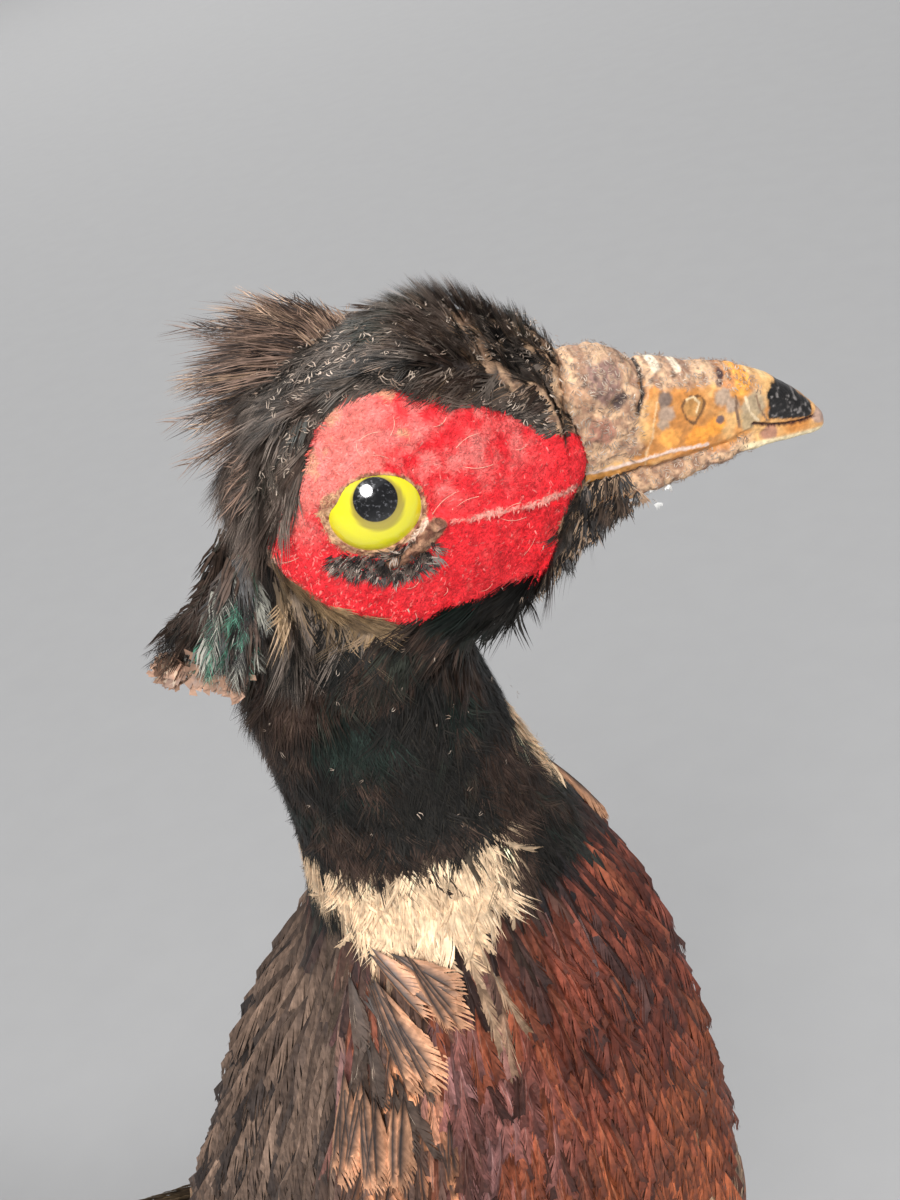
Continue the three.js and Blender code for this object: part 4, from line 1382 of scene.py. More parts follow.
def make_tail():
    """Eight pairs in a fan: olive buff with narrow dark bars and rufous fringes."""
    rng = np.random.default_rng(90)
    material = feather_material("tail_plumage", 0.5, Specular_IOR_Level=0.4)
    coat = Coat("plumage_tail", material, "tail_feather", replaced=("tail",))
    buff, bar = np.array((0.27, 0.185, 0.095)), np.array((0.028, 0.018, 0.013))
    rufous, shaft = np.array((0.17, 0.06, 0.04)), np.array((0.12, 0.075, 0.045))
    slope = math.radians(TAIL["droop"])
    x, y, z = TAIL["root"]
    for pair in reversed(range(TAIL["pairs"])):
        place = pair * 5 / (TAIL["pairs"] - 1)  # 0 for the middle pair, 5 for the outer one
        length = TAIL["longest"] - 58 * place
        for side in (1, -1):
            swing = math.radians(side * (0.4 + 1.15 * place))
            share = np.linspace(0, 1, 24)
            back = length * share * math.cos(slope) * math.cos(swing)
            line = np.stack((
                x - back, y + side * (3 + place) + length * share * math.sin(swing),
                z - 0.5 * place - length * share * math.sin(slope) - TAIL["sag"] * share**2,
            ), -1)
            width = 2 * (13.5 - 0.5 * place) * 0.92
            form = vane(rng, barbs=int(length / 1.9), sweep=13 / length, **TAIL_VANE)
            # The blade narrows to its tip.
            along = form.points[:, 1]
            form.points[:, 0] *= np.sqrt(np.maximum(0.02, 1 - along**3)) * (1 - 0.35 * along)
            normals = np.tile(unit(np.array((-math.sin(slope), -0.16 * side, 1.0))), (24, 1))
            spots = bent(form, line, normals, width, lift=0.4 - 0.35 * place)
            tints = barred(form, buff, bar, rufous, shaft, length / 13, rng)
            coat.add(spots[None], form.faces, tints[None], patches(line[:1], form, (0.8, 1)))
    coat.build()


# ---- Crest and ear tufts -------------------------------------------------------------------------


def plume(rng, hairs, thin, slant):
    """A loose hair-like feather: a pale shaft with single fine barbs."""
    bow = 0.12 * (rng.random() - 0.5)
    shaft = []
    steps = 6
    for step in range(steps):
        t = step / steps
        middle = bow * math.sin(math.pi * t)
        half = 0.03 * (1 - 0.7 * t)
        shaft += [(middle - half, t, 0), (middle + half, t, 0)]
    shaft.append((0, 1, 0))
    strips = [shaft]
    for side in (-1, 1):
        for number in range(hairs):
            start = 0.06 + 0.9 * (number + rng.random()) / hairs
            root = bow * math.sin(math.pi * start)
            end = min(1.08, start + slant * (0.7 + 0.6 * rng.random()) * (1.15 - 0.5 * start))
            swell = 0.4 + 0.6 * math.sin(math.pi * min(1, 0.25 + start * 0.75))
            wide = side * 0.5 * swell * (0.3 + 0.9 * rng.random())
            lift = 0.06 * (rng.random() - 0.5)
            bend = 0.62 * wide + root
            middle = start + 0.5 * (end - start)
            strips.append([
                (root, start, 0), (root, start + 1.4 * thin, 0), (bend, middle, 0.5 * lift),
                (bend, middle + thin, 0.5 * lift), (root + wide, end, lift),
            ])
    return Form(strips)


def plume_tints(form, own, shaft):
    """Colours by copy and vertex for plumes: each copy's own, and the shaft's."""
    tint = np.where(form.shaft[None, :, None], shaft, own[:, None])
    return tint * (0.45 + 1.1 * form.shade[None, :, None])


CREST_ROOT = (2.2, 3.5, 12.6)
# The fan's reach from its root by direction: degrees round from straight ahead, over the crown.
CREST_FAN = ((95, 5.5), (110, 8), (125, 12), (144, 17.2), (162, 20.4), (180, 23), (195, 24.4), (211, 22.4))


def lock_tints(form, count, rng, shares):
    """Colours by copy and vertex for locks of brown, black and straw hairs in these shares."""
    kinds = np.array(((0.185, 0.118, 0.086), (0.036, 0.025, 0.021), (0.42, 0.28, 0.19)))
    own = kinds[rng.choice(3, size=count, p=shares)][:, None] * (0.7 + 0.6 * rng.random((count, 1, 1)))
    return own * (0.35 + 1.3 * form.shade[None, :, None])


def make_crest():
    """The brown fan of loose locks back from the crown, and those from behind the right eye."""
    rng = np.random.default_rng(17)
    material = feather_material("crest_plumage", 0.45, Specular_IOR_Level=0.5)
    coat = Coat("plumage_crest", material, "crest_feather", replaced=("crest_tuft",))
    forms = [wisp(rng, strands=15, thin=0.045, spread=0.45, curl=0.3, steps=5) for _ in range(8)]
    forms += [plume(rng, hairs=22, thin=0.012, slant=0.5) for _ in range(2)]
    fan, side = 300, 90
    count = fan + side
    from_side = np.arange(count) >= fan
    angle = np.where(from_side, 200 + 44 * rng.random(count), 98 + 108 * rng.random(count))
    reach = np.interp(angle, *np.array(CREST_FAN).T) * (0.55 + 0.45 * rng.random(count) ** 0.6)
    reach = np.where(from_side, 6 + 4 * rng.random(count), reach)
    low = -2.6 * rng.random(count) * ramp(160, 190, angle)
    ahead = -2.4 * rng.random(count) - 0.4 * low
    left = 4.6 * (rng.random(count) - 0.5)
    root = np.array(CREST_ROOT) + np.stack((ahead, left, low - 0.9 * rng.random(count)), -1)
    share = rng.random((count, 1))
    beside = np.array((-1.5, -6.8, 11.5)) * (1 - share) + np.array((-9.5, -8.4, 6.0)) * share
    root = np.where(from_side[:, None], beside + 0.8 * rng.standard_normal((count, 3)) * (1, 0.3, 1), root)
    curve = (0.12 + 0.3 * rng.random(count)) * (1 - 0.7 * ramp(150, 200, angle))
    turn = np.radians(angle) - np.arctan(curve)
    aside = np.where(from_side, 0.16, 0.0) + 0.13 * rng.standard_normal(count)
    way = unit(np.stack((np.cos(turn), aside, np.sin(turn)), -1)) @ HEAD_AXES.T
    facing = unit(np.array((0.1, -1.0, 0.2)) + 0.4 * rng.standard_normal((count, 3))) @ HEAD_AXES.T
    facing = square(facing, way)
    roots = from_head(root)
    for number, form in enumerate(forms):
        own = np.arange(count) % len(forms) == number
        some = own.sum()
        spots = placed(
            form, roots[own], facing[own], way[own], reach[own], 2.6 + 2.0 * rng.random(some),
            tilt=np.zeros(some), bend=0.1, sway=-curve[own],
        )
        tints = lock_tints(form, some, rng, (0.56, 0.28, 0.16))
        coat.add(spots, form.faces, tints, patches(roots[own], form, (0, 0.14)))
    coat.build()


# The ear tufts' middle lines: ahead, left, up and half breadth.
EAR_TUFTS = {
    "left": ((-17, 6.5, -6, 1.8), (-21, 7.5, -14, 3), (-26.8, 8.5, -21, 4), (-31.2, 9, -27.5, 3.2)),
    "right": (
        (-16.8, -7, -4.5, 2.4), (-19, -9, -9, 3.4), (-21.2, -10, -13.8, 3.9), (-24, -10.5, -18.4, 2.9),
    ),
}


def make_ear_tuft(name, seed):
    """A hanging tuft: dark feathers, some painted with a green sheen and some with grey highlights, that end
    in ragged dry skin.
    """
    rng = np.random.default_rng(seed)
    material = feather_material("ear_plumage_" + name, 0.5, Specular_IOR_Level=0.4)
    coat = Coat("plumage_ear_" + name, material, "dark_feather", replaced=("flap_" + name,))
    line = even(np.array(EAR_TUFTS[name])[:, :3], 40)
    breadth = through(np.array(EAR_TUFTS[name])[:, 3:], 40)[:, 0]
    way = unit(np.gradient(line, axis=0))
    side = -1 if name == "right" else 1
    outward = square(np.array((-0.25, side, 0.1)), way)
    across = np.cross(way, outward)
    forms = [plume(rng, hairs=20, thin=0.016, slant=0.4) for _ in range(6)]
    forms += [wisp(rng, strands=12, thin=0.16, spread=0.3, curl=0.4) for _ in range(3)]
    count = 210
    share = rng.random(count) ** 0.8 * 0.76
    index = (share * 39).astype(int)
    level = 1.5 * (rng.random(count) - 0.5)
    proud = outward[index] * (1.6 * (rng.random((count, 1)) - 0.35))
    roots = line[index] + across[index] * (level * breadth[index])[:, None] + proud
    ways = unit(way[index] + 0.18 * rng.standard_normal((count, 3)) + across[index] * 0.12 * level[:, None])
    facing = unit(outward[index] + 0.3 * rng.standard_normal((count, 3)))
    facing = square(facing, ways)
    total = np.linalg.norm(np.diff(line, axis=0), axis=1).sum()
    length = np.minimum(5 + 4 * rng.random(count), total * (1.04 - share))
    dark, brown = np.array((0.014, 0.012, 0.011)), np.array((0.062, 0.040, 0.030))
    # Painted light: the green strands stand for the feathers' green sheen, the grey ones for highlights.
    green, grey = np.array((0.06, 0.19, 0.125)), np.array((0.26, 0.25, 0.21))
    pick = rng.random((count, 1)) + 0.35 * np.abs(level[:, None]) + (0.0 if side < 0 else 0.3)
    own_tint = np.where(pick < 0.30, green, np.where(pick < 0.50, grey, np.where(pick < 0.8, dark, brown)))
    roots_out, ways_out, facing_out = from_head(roots), ways @ HEAD_AXES.T, facing @ HEAD_AXES.T
    for number, form in enumerate(forms):
        own = np.arange(count) % len(forms) == number
        spots = placed(
            form, roots_out[own], facing_out[own], ways_out[own], length[own], np.full(own.sum(), 2.4),
            tilt=np.full(own.sum(), 4.0), bend=0.15, sway=0.03 * rng.standard_normal(own.sum()),
        )
        tints = plume_tints(form, own_tint[own], np.array((0.05, 0.045, 0.035)))
        coat.add(spots, form.faces, tints, patches(roots_out[own], form, (0, 0.16)))
    # The dry tan end.
    crumb = wisp(rng, strands=9, thin=0.5, spread=0.4, curl=0.5)
    ends = 26
    spot = line[35 + rng.integers(5, size=ends)]
    spot = spot + across[-1] * (1.9 * breadth[-1] * (rng.random((ends, 1)) - 0.5))
    roots = from_head(spot + outward[-1] * (1.6 * (rng.random((ends, 1)) - 0.4)))
    ways = unit(way[-1] + 0.9 * rng.standard_normal((ends, 3))) @ HEAD_AXES.T
    facing = np.tile(outward[-1] @ HEAD_AXES.T, (ends, 1))
    facing = square(facing, ways)
    tan = mix((0.42, 0.25, 0.17), (0.2, 0.11, 0.07), rng.random(ends))
    sizes = np.full(ends, 2.0)
    spots = placed(crumb, roots, facing, ways, sizes, 1.3 * sizes, 0 * sizes, bend=0.2)
    tints = plume_tints(crumb, tan, np.array((0.5, 0.36, 0.25)))
    coat.add(spots, crumb.faces, tints, patches(roots, crumb, (0, 0.16)))
    coat.build()


# ---- Pile, lashes and dust -----------------------------------------------------------------------


def scatter(coat, forms, roots, normals, ways, length, width, tilt, own, rng, span=(0, 0.14), wild=0.35):
    """Small single fibres at these places with a colour for each."""
    kind = rng.integers(len(forms), size=len(roots))
    for number, form in enumerate(forms):
        some = kind == number
        given = (part[some] for part in (roots, normals, ways, length, width, tilt))
        spots = placed(form, *given)
        shade = 1 + wild * (form.shade[None, :, None] - 0.5)
        tints = np.broadcast_to(own[some][:, None] * shade, spots.shape)
        coat.add(spots, form.faces, tints, patches(roots[some], form, span))


def make_pile(surface):
    """The short felted fibres on the red face, a few threads across it, and then the dark lashes."""
    rng = np.random.default_rng(44)
    flock = feather_material("face_flock", 0.9, Specular_IOR_Level=0.2)
    pile = Coat("face_pile", flock, "wattle", replaced=("wattle_left", "wattle_right"))
    forms = [wisp(rng, strands=3, thin=0.42, spread=0.4, curl=0.5, steps=1) for _ in range(4)]

    def on_face(p):
        q = to_head(p)
        clear = (opening(q) > 1.09) & (pouch_share(q) < 0.4) & (corner_share(q) < 0.45)
        return (face_distance(q) < 0.15) & clear & (np.abs(q[:, 1]) > 4)

    roots, normals = surface.places(rng, on_face, 0.32)
    count = len(roots)
    ways = lie(roots, normals) + 0.9 * np.cross(normals, rng.standard_normal((count, 3)))
    ways = square(ways, normals)
    q = to_head(roots)
    base = face_colour(roots, np.tile((0.6, 0.02, 0.03), (count, 1)))
    pale = (rng.random(count) < 0.05 + 0.12 * ramp(6, -6, q[:, 0]))[:, None]
    base = np.where(pale, mix(base, (0.85, 0.30, 0.26), 0.55), base)
    base = base * (0.78 + 0.42 * rng.random((count, 1)))
    length = 0.55 + 0.4 * rng.random(count)
    tilt = 14 + 16 * rng.random(count)
    scatter(pile, forms, roots, normals, ways, length, np.full(count, 0.3), tilt, base, rng)
    # A few straw-coloured threads caught across it.
    threads = [wisp(rng, strands=1, thin=0.035, spread=0.5, curl=0.45, steps=6) for _ in range(5)]
    roots, normals = surface.places(rng, lambda p: on_face(p) & (face_distance(to_head(p)) < -2), 7.0)
    count = len(roots)
    ways = unit(np.cross(normals, rng.standard_normal((count, 3))))
    straw = np.tile((0.76, 0.44, 0.33), (count, 1)) * (0.7 + 0.5 * rng.random((count, 1)))
    length = 2.0 + 4.5 * rng.random(count) ** 2
    width, tilt = np.full(count, 2.0), np.full(count, 5.0)
    scatter(pile, threads, roots + 0.25 * normals, normals, ways, length, width, tilt, straw, rng)
    pile.build()
    make_lashes(surface, rng)


def make_lashes(surface, rng):
    """The dark tuft under the eye, with a few pale barbs."""
    lashes = Coat("eye_lashes", feather_material("lash_plumage", 0.5), "dark_feather")
    forms = [wisp(rng, strands=4, thin=0.2, spread=0.6, curl=0.5) for _ in range(4)]

    def under_eye(p):
        q = to_head(p)
        foot = np.interp(q[:, 0], (-6.4, -4.4, -1.5, 1.5, 3.6, 5.6), (-5.8, -7.2, -8.5, -9.1, -9.0, -7.8))
        clear = (opening(q) > 1.12) & (pouch_share(q) < 0.7) & (np.abs(q[:, 1]) > 8)
        return clear & (q[:, 0] > -6.4) & (q[:, 0] < 5.6) & (q[:, 2] > foot) & (q[:, 2] < -4.6)

    roots, normals = surface.places(rng, under_eye, 0.36)
    count = len(roots)
    q = to_head(roots)
    way = np.stack((-0.45 + 0.13 * q[:, 0], np.zeros(count), np.full(count, -0.6)), -1) @ HEAD_AXES.T
    way = way + 0.45 * rng.standard_normal((count, 3))
    way = square(way, normals)
    kinds = np.array(((0.02, 0.014, 0.012), (0.17, 0.125, 0.10), (0.52, 0.42, 0.35)))
    own = kinds[rng.choice(3, size=count, p=(0.58, 0.33, 0.09))]
    length = 1.3 + 1.1 * rng.random(count)
    width, tilt = np.full(count, 0.7), 20 + 16 * rng.random(count)
    scatter(lashes, forms, roots, normals, way, length, width, tilt, own, rng)
    lashes.build()


FOLD_EDGE = (
    (-14.8, 0, -3.8), (-13, 0, -7.2), (-10.2, 0, -10), (-7.4, 0, -12), (-3.4, 0, -14.8), (0.6, 0, -17.4),
)


def make_fold(tree):
    """The golden brown locks along the lower rear edge of the red face."""
    rng = np.random.default_rng(61)
    coat = Coat("face_fold", feather_material("fold_plumage", 0.5), "crest_feather")
    forms = [wisp(rng, strands=12, thin=0.07, spread=0.3, curl=0.25, steps=3) for _ in range(5)]
    edge = even(np.array(FOLD_EDGE), 60)
    count = 230
    for side in (-1, 1):
        index = rng.integers(48, size=count)
        away = 1.7 * rng.random(count)
        along = unit(np.gradient(edge, axis=0))[index]
        outward = np.stack((along[:, 2], np.zeros(count), -along[:, 0]), -1)
        spots = edge[index] + outward * away[:, None]
        spots[:, 1] = 14 * side
        found = [tree.find_nearest(p) for p in from_head(spots)]
        roots = np.array([f[0] for f in found])
        normals = np.array([f[1] for f in found])
        ways = (along + 0.14 * rng.standard_normal((count, 3))) @ HEAD_AXES.T
        ways = square(ways, normals)
        gold = mix((0.10, 0.062, 0.036), (0.46, 0.30, 0.155), rng.random(count))
        gold = gold * (1.15 - 0.3 * away)[:, None]
        length = 2.8 + 2.0 * rng.random(count)
        tilt = 10 + 6 * rng.random(count)
        scatter(coat, forms, roots, normals, ways, length, np.full(count, 1.0), tilt, gold, rng, wild=0.8)
    coat.build()


def make_chin(bill_points, bill_faces):
    """Dark barbs, crusted with tan, that hang over the root of the bill's lower half."""
    rng = np.random.default_rng(71)
    material = feather_material("chin_plumage", 0.5, Specular_IOR_Level=0.4)
    coat = Coat("plumage_chin", material, "dark_feather")
    forms = [wisp(rng, strands=9, thin=0.09, spread=0.5, curl=0.5, steps=3) for _ in range(6)]
    tree = BVHTree.FromPolygons(bill_points.tolist(), bill_faces.tolist())
    count = 760
    side = np.where(rng.random(count) < 0.5, -1, 1)
    ahead = 18.5 + 13 * rng.random(count)
    reach = 1.6 + 1.0 * (32 - ahead)  # how far below the gape the barbs hang
    drop = rng.random(count) ** 1.2 * np.maximum(reach - 2.5, 0.3)
    breadth = 6.6 - 0.28 * np.maximum(drop - 3, 0)
    spots = np.stack((ahead - 0.3 * drop, side * breadth * rng.random(count) ** 0.4, -9.9 - drop), -1)
    on_horn = drop < 3.4
    spots[on_horn, 1] = 12 * side[on_horn]
    roots = from_head(spots)
    for number in np.flatnonzero(on_horn):
        found = tree.find_nearest(roots[number])
        roots[number] = np.array(found[0]) + 0.15 * np.array(found[1])
    ways = np.array((-0.5, 0, -1)) + 0.32 * rng.standard_normal((count, 3))
    ways = unit(ways) @ HEAD_AXES.T
    facing = np.stack((0.3 * np.ones(count), 1.0 * side, np.zeros(count)), -1)
    facing = (facing + 0.35 * rng.standard_normal((count, 3))) @ HEAD_AXES.T
    facing = square(facing, ways)
    length = np.clip(reach - drop + 0.6, 1.6, 3 + 2.4 * rng.random(count))
    kinds = np.array(((0.018, 0.014, 0.012), (0.075, 0.05, 0.036), (0.42, 0.28, 0.18)))
    own = kinds[rng.choice(3, size=count, p=(0.6, 0.22, 0.18))]
    tilt = 6 + 10 * rng.random(count)
    scatter(coat, forms, roots, facing, ways, length, 0.5 * length, tilt, own, rng, wild=0.8)
    # Lumps of dried tan crust along the front.
    crumbs = [wisp(rng, strands=8, thin=0.45, spread=0.4, curl=0.6) for _ in range(3)]
    lumps = np.flatnonzero((ahead > 23) & (drop > 0.4 * reach - 1.2))[:110]
    tan = mix((0.38, 0.25, 0.16), (0.14, 0.085, 0.055), rng.random(len(lumps)))
    size = 0.6 + 0.6 * rng.random(len(lumps))
    tips = roots[lumps] + ways[lumps] * (0.5 * length[lumps])[:, None]
    tilt = 20 * rng.random(len(lumps))
    scatter(coat, crumbs, tips, facing[lumps], ways[lumps], size, 1.2 * size, tilt, tan, rng)
    coat.build()


# The striped feathers of the shoulder: angle and height at the root and at the tip, and 1 for the
# orange ones or 0 for dark ones with a pale shaft.
SHOULDER = (
    (-86, -64, -68, -72, 1), (-78, -64, -57, -71, 1), (-71, -65.5, -61, -75, 1), (-87, -68, -74, -78, 1),
    (-84, -69, -71, -83, 1), (-90, -68, -76, -82, 1), (-92, -70, -80, -78, 0), (-80, -72, -75, -84, 0),
    (-97, -68, -93, -79, 0), (-94, -76, -96, -86, 0), (-89, -75, -90, -85, 0), (-94, -82, -97, -94, 1),
    (-89, -82, -91, -94.5, 1), (-83, -83, -86, -96, 1), (-98, -82, -101, -93, 1), (-91.5, -84, -94, -97, 1),
    (-84, -80, -81, -92, 0),
)


def make_shoulder(tree):
    """The few broad orange feathers with dark stripes in front of each wing."""
    rng = np.random.default_rng(81)
    material = feather_material("shoulder_plumage", 0.5, Specular_IOR_Level=0.4)
    coat = Coat("plumage_shoulder", material, "chestnut_feather")
    forms = [vane(rng, **SHOULDER_VANE) for _ in range(4)]

    def on_skin(angle, height):
        turn = math.radians(angle)
        start = Vector((NECK_X, 0, HEAD_AT[2] + height))
        spot, normal, _, _ = tree.ray_cast(start, Vector((math.cos(turn), math.sin(turn), 0)))
        return np.array(spot), np.array(normal)

    for side in (1, -1):
        for order, (angle, height, tip_angle, tip_height, orange) in enumerate(SHOULDER):
            for _ in range(3):
                shift = rng.standard_normal(4) * (1.6, 0.8, 2.2, 1.0)
                root, normal = on_skin(side * (angle + shift[0]), height + shift[1])
                tip, _ = on_skin(side * (tip_angle + shift[2]), tip_height + shift[3])
                way = unit(tip - root)
                facing = square(normal, way)
                reach = np.array((np.linalg.norm(tip - root) * 1.05,))
                base = np.array((0.65, 0.335, 0.19) if orange else (0.11, 0.075, 0.058))
                shaft = np.array((0.035, 0.030, 0.030) if orange else (0.60, 0.47, 0.36))
                palette = [base[None], 0.8 * base[None], shaft[None], np.array((0.5,))]
                form = forms[rng.integers(len(forms))]
                lifted = (root + normal * (1.2 + 1.2 * orange + 0.02 * order))[None]
                width, tilt = np.array((2.6 + orange,)), np.array((8.0,))
                spots = placed(form, lifted, facing[None], way[None], reach, width, tilt, bend=0.25)
                tints = feather_tints(form, lifted, palette, rng, wild=0.3, tip_from=0.9)
                coat.add(spots, form.faces, tints, patches(lifted, form, (0.15, 0.6)))
    coat.build()


LINT = ((33.6, -5.2, -11.6), (34.3, -5.2, -13.2), (35.7, -5, -11.8))  # white flakes under the bill


def make_dust(surface, bill_points, bill_faces):
    """Pale dust, lint and stray hairs on the crown and along the bill."""
    rng = np.random.default_rng(23)
    coat = Coat("dust", feather_material("dust_fibre", 0.8), "dark_feather")
    forms = [wisp(rng, strands=2, thin=0.3, spread=0.8, curl=0.9) for _ in range(4)]

    def on_crown(p):
        q = to_head(p)
        return (face_distance(q) > 0.3) & (q[:, 0] > -12) & (q[:, 2] > -4)

    def on_neck(p):
        return (height_of(p) < -10) & (height_of(p) > RING_TOP + 2)

    def on_bill(p):
        q = to_head(p)
        return (bill_crust(q) > 0.3) & (q[:, 0] > 24.5)

    bill = Surface(bill_points, bill_faces)
    for ground, where, gap, share, length, proud in (
        (surface, on_crown, 0.9, 0.5, 1.1, 1.3), (surface, on_neck, 1.6, 0.05, 1.0, 2.8),
        (bill, on_bill, 0.5, 0.6, 0.9, 0.1),
    ):
        roots, normals = ground.places(rng, where, gap)
        some = rng.random(len(roots)) < share
        roots, normals = roots[some] + normals[some] * proud, normals[some]
        count = len(roots)
        ways = np.cross(normals, unit(rng.standard_normal((count, 3))))
        tint = mix((0.55, 0.45, 0.36), (0.2, 0.13, 0.09), rng.random(count))
        size = length * (0.4 + rng.random(count))
        tilt = 30 * rng.random(count)
        scatter(coat, forms, roots, normals, unit(ways), size, 0.35 * size, tilt, tint, rng, span=(0, 0.1))
    flakes = [wisp(rng, strands=5, thin=0.5, spread=0.6, curl=0.7) for _ in range(3)]
    count = 2 * len(LINT)
    spots = from_head(np.repeat(np.array(LINT), 2, 0) + 0.3 * rng.standard_normal((count, 3)))
    down = unit(np.array((0, 0, -1)) + 0.6 * rng.standard_normal((count, 3)))
    facing = np.tile((0.5, -0.85, 0.1), (count, 1))
    facing = square(facing, down)
    white, size = np.tile((0.80, 0.79, 0.76), (count, 1)), 0.6 + 0.5 * rng.random(count)
    scatter(coat, flakes, spots, facing, down, size, 0.8 * size, 0 * size, white, rng, span=(0, 0.1))
    coat.build()


# ---- Bill, eyes, claws and scales ----------------------------------------------------------------

# Stains, flakes and, in the nostril's pit, painted shade on the bill's right side and, mirrored, its left:
# ahead, up, size and colour.
BILL_SPOTS = (
    # The second spot, dark brown in the nostril's pit, is painted shade.
    (30.4, 4.2, 2.5, (0.26, 0.15, 0.12)), (31.8, 1.6, 1.2, (0.10, 0.065, 0.06)),
    (27.0, 3.4, 1.6, (0.52, 0.30, 0.18)), (29.0, -1.4, 1.9, (0.40, 0.19, 0.13)),
    (37.4, -0.2, 1.1, (0.20, 0.14, 0.11)), (37.2, -1.9, 1.2, (0.42, 0.29, 0.21)),
    (36.6, -3.2, 0.9, (0.42, 0.29, 0.20)), (40.6, -6.3, 1.7, (0.88, 0.33, 0.05)),
    (43.0, -5.6, 1.5, (0.88, 0.34, 0.05)), (37.0, -5.0, 1.5, (0.84, 0.36, 0.08)),
    (46.6, -7.3, 1.3, (0.66, 0.30, 0.09)), (47.4, -1.2, 1.9, (0.84, 0.36, 0.07)),
    (45.6, -0.7, 1.3, (0.56, 0.24, 0.09)), (44.5, -2.2, 1.2, (0.44, 0.31, 0.22)),
    (45.6, -3.6, 1.0, (0.46, 0.33, 0.24)), (43.7, -4.9, 0.6, (0.20, 0.13, 0.12)),
    (48.4, -4.6, 1.9, (0.46, 0.34, 0.21)), (47.6, -6.4, 1.4, (0.50, 0.36, 0.20)),
    (40.7, -2.2, 1.5, (0.50, 0.25, 0.08)), (50.0, -9.3, 1.2, (0.40, 0.20, 0.13)),
    (57.2, -9.4, 1.3, (0.46, 0.30, 0.23)), (51.0, -1.9, 0.9, (0.80, 0.56, 0.26)),
    (49.4, -0.8, 0.9, (0.76, 0.50, 0.22)), (37.5, 3.4, 0.72, (0.86, 0.74, 0.56)),
    (40.3, 2.4, 0.8, (0.86, 0.74, 0.56)), (45.2, -0.1, 0.5, (0.06, 0.03, 0.03)),
    (44.6, -0.7, 0.45, (0.09, 0.045, 0.04)),
)
# Lines along it: half breadth, depth, colour and the points they pass through.
BILL_LINES = (
    # Painted shade: the near-black groove along the front edge of the crust.
    (0.30, 0.5, (0.020, 0.012, 0.010), ((35.5, 3.6), (35.2, 2.4), (34.8, 1.1), (34.2, 0.4), (33.8, -0.8))),
    (0.13, 0.0, (0.72, 0.46, 0.24), ((36.3, 0), (35.4, -2.4), (34.9, -4.4), (33.8, -6.2), (33.4, -8.6))),
    (
        0.24, -0.1, (0.80, 0.60, 0.50),
        ((23, -6.1), (25, -6.2), (29.2, -6.7), (33.1, -6.9), (36.9, -7.0), (41.7, -7.7)),
    ),
    (0.20, 0.2, (0.12, 0.055, 0.03), ((24.4, -7.9), (27.3, -8.4), (30, -8.6), (33, -8.7))),
    # Painted shade: the dark slit of the mouth by the tip, in its groove.
    (
        0.26, 0.55, (0.055, 0.018, 0.014),
        ((48.0, -7.1), (49.9, -8.2), (52.1, -8.9), (54.2, -9.2), (56.2, -9.3)),
    ),
    (
        0.20, 0.1, (0.16, 0.075, 0.03),
        (
            (40.4, -0.7), (41.9, -1.2), (42.2, -2.2), (41.5, -3.3), (40.4, -4.4), (39.6, -3.4), (39.2, -1.9),
            (39.8, -1.0),
        ),
    ),
    (0.16, -0.1, (0.84, 0.62, 0.36), ((40.0, -1.0), (40.9, -0.9), (41.5, -1.9), (40.9, -3.0))),
    (0.17, 0.1, (0.22, 0.13, 0.08), ((46.2, -2.6), (46.0, -4.6), (46.1, -6.8))),
    (0.17, -0.1, (0.72, 0.56, 0.36), ((47.4, -3.0), (47.6, -5.0), (48.6, -6.8))),
    (0.15, 0.1, (0.25, 0.15, 0.09), ((48.8, -3.4), (49.0, -5.2), (49.8, -7.2))),
)
BILL_TIP_PATCH = (
    (50.3, -3.6), (51.5, -3.2), (52.8, -3.5), (56.3, -7.6), (55.9, -8.9), (52.3, -8.0), (50.0, -7.0),
)
BILL_PLATE = ((45.9, -2.4), (50.3, -3.4), (50.2, -7.2), (45.9, -7.6))
CULMEN = ((24, 7.4), (31, 5.2), (37, 2.6), (43, 1), (48, -1.2), (52, -3.9), (55.5, -7.3), (58, -10.2))
BILL_GAP = 0.45  # what closes the two halves, which stand a little apart as packed


def bill_crust(q):
    """How crusty the horn is, from smooth amber, 0, to dust and dried skin, 1."""
    side = q * (1, 0, 1)
    ahead, up = q[:, 0], q[:, 2]
    grain = wobble(side, 1.3, 74)
    root = ramp(35.6, 33.8, ahead - 0.25 * (up - 1) + 2.0 * grain) * ramp(-6.6, -5.6, up + grain)
    top = ramp(1.7, 0.8, np.interp(ahead, *np.array(CULMEN).T) - up + 1.4 * grain) * ramp(51, 47, ahead)
    foot = ramp(-7.9, -8.7, up + 0.12 * (ahead - 36) * (ahead < 46) + 1.2 * grain) * ramp(49, 46, ahead)
    return np.clip(root + top + foot * ramp(28, 33, ahead + 2 * grain), 0, 1)


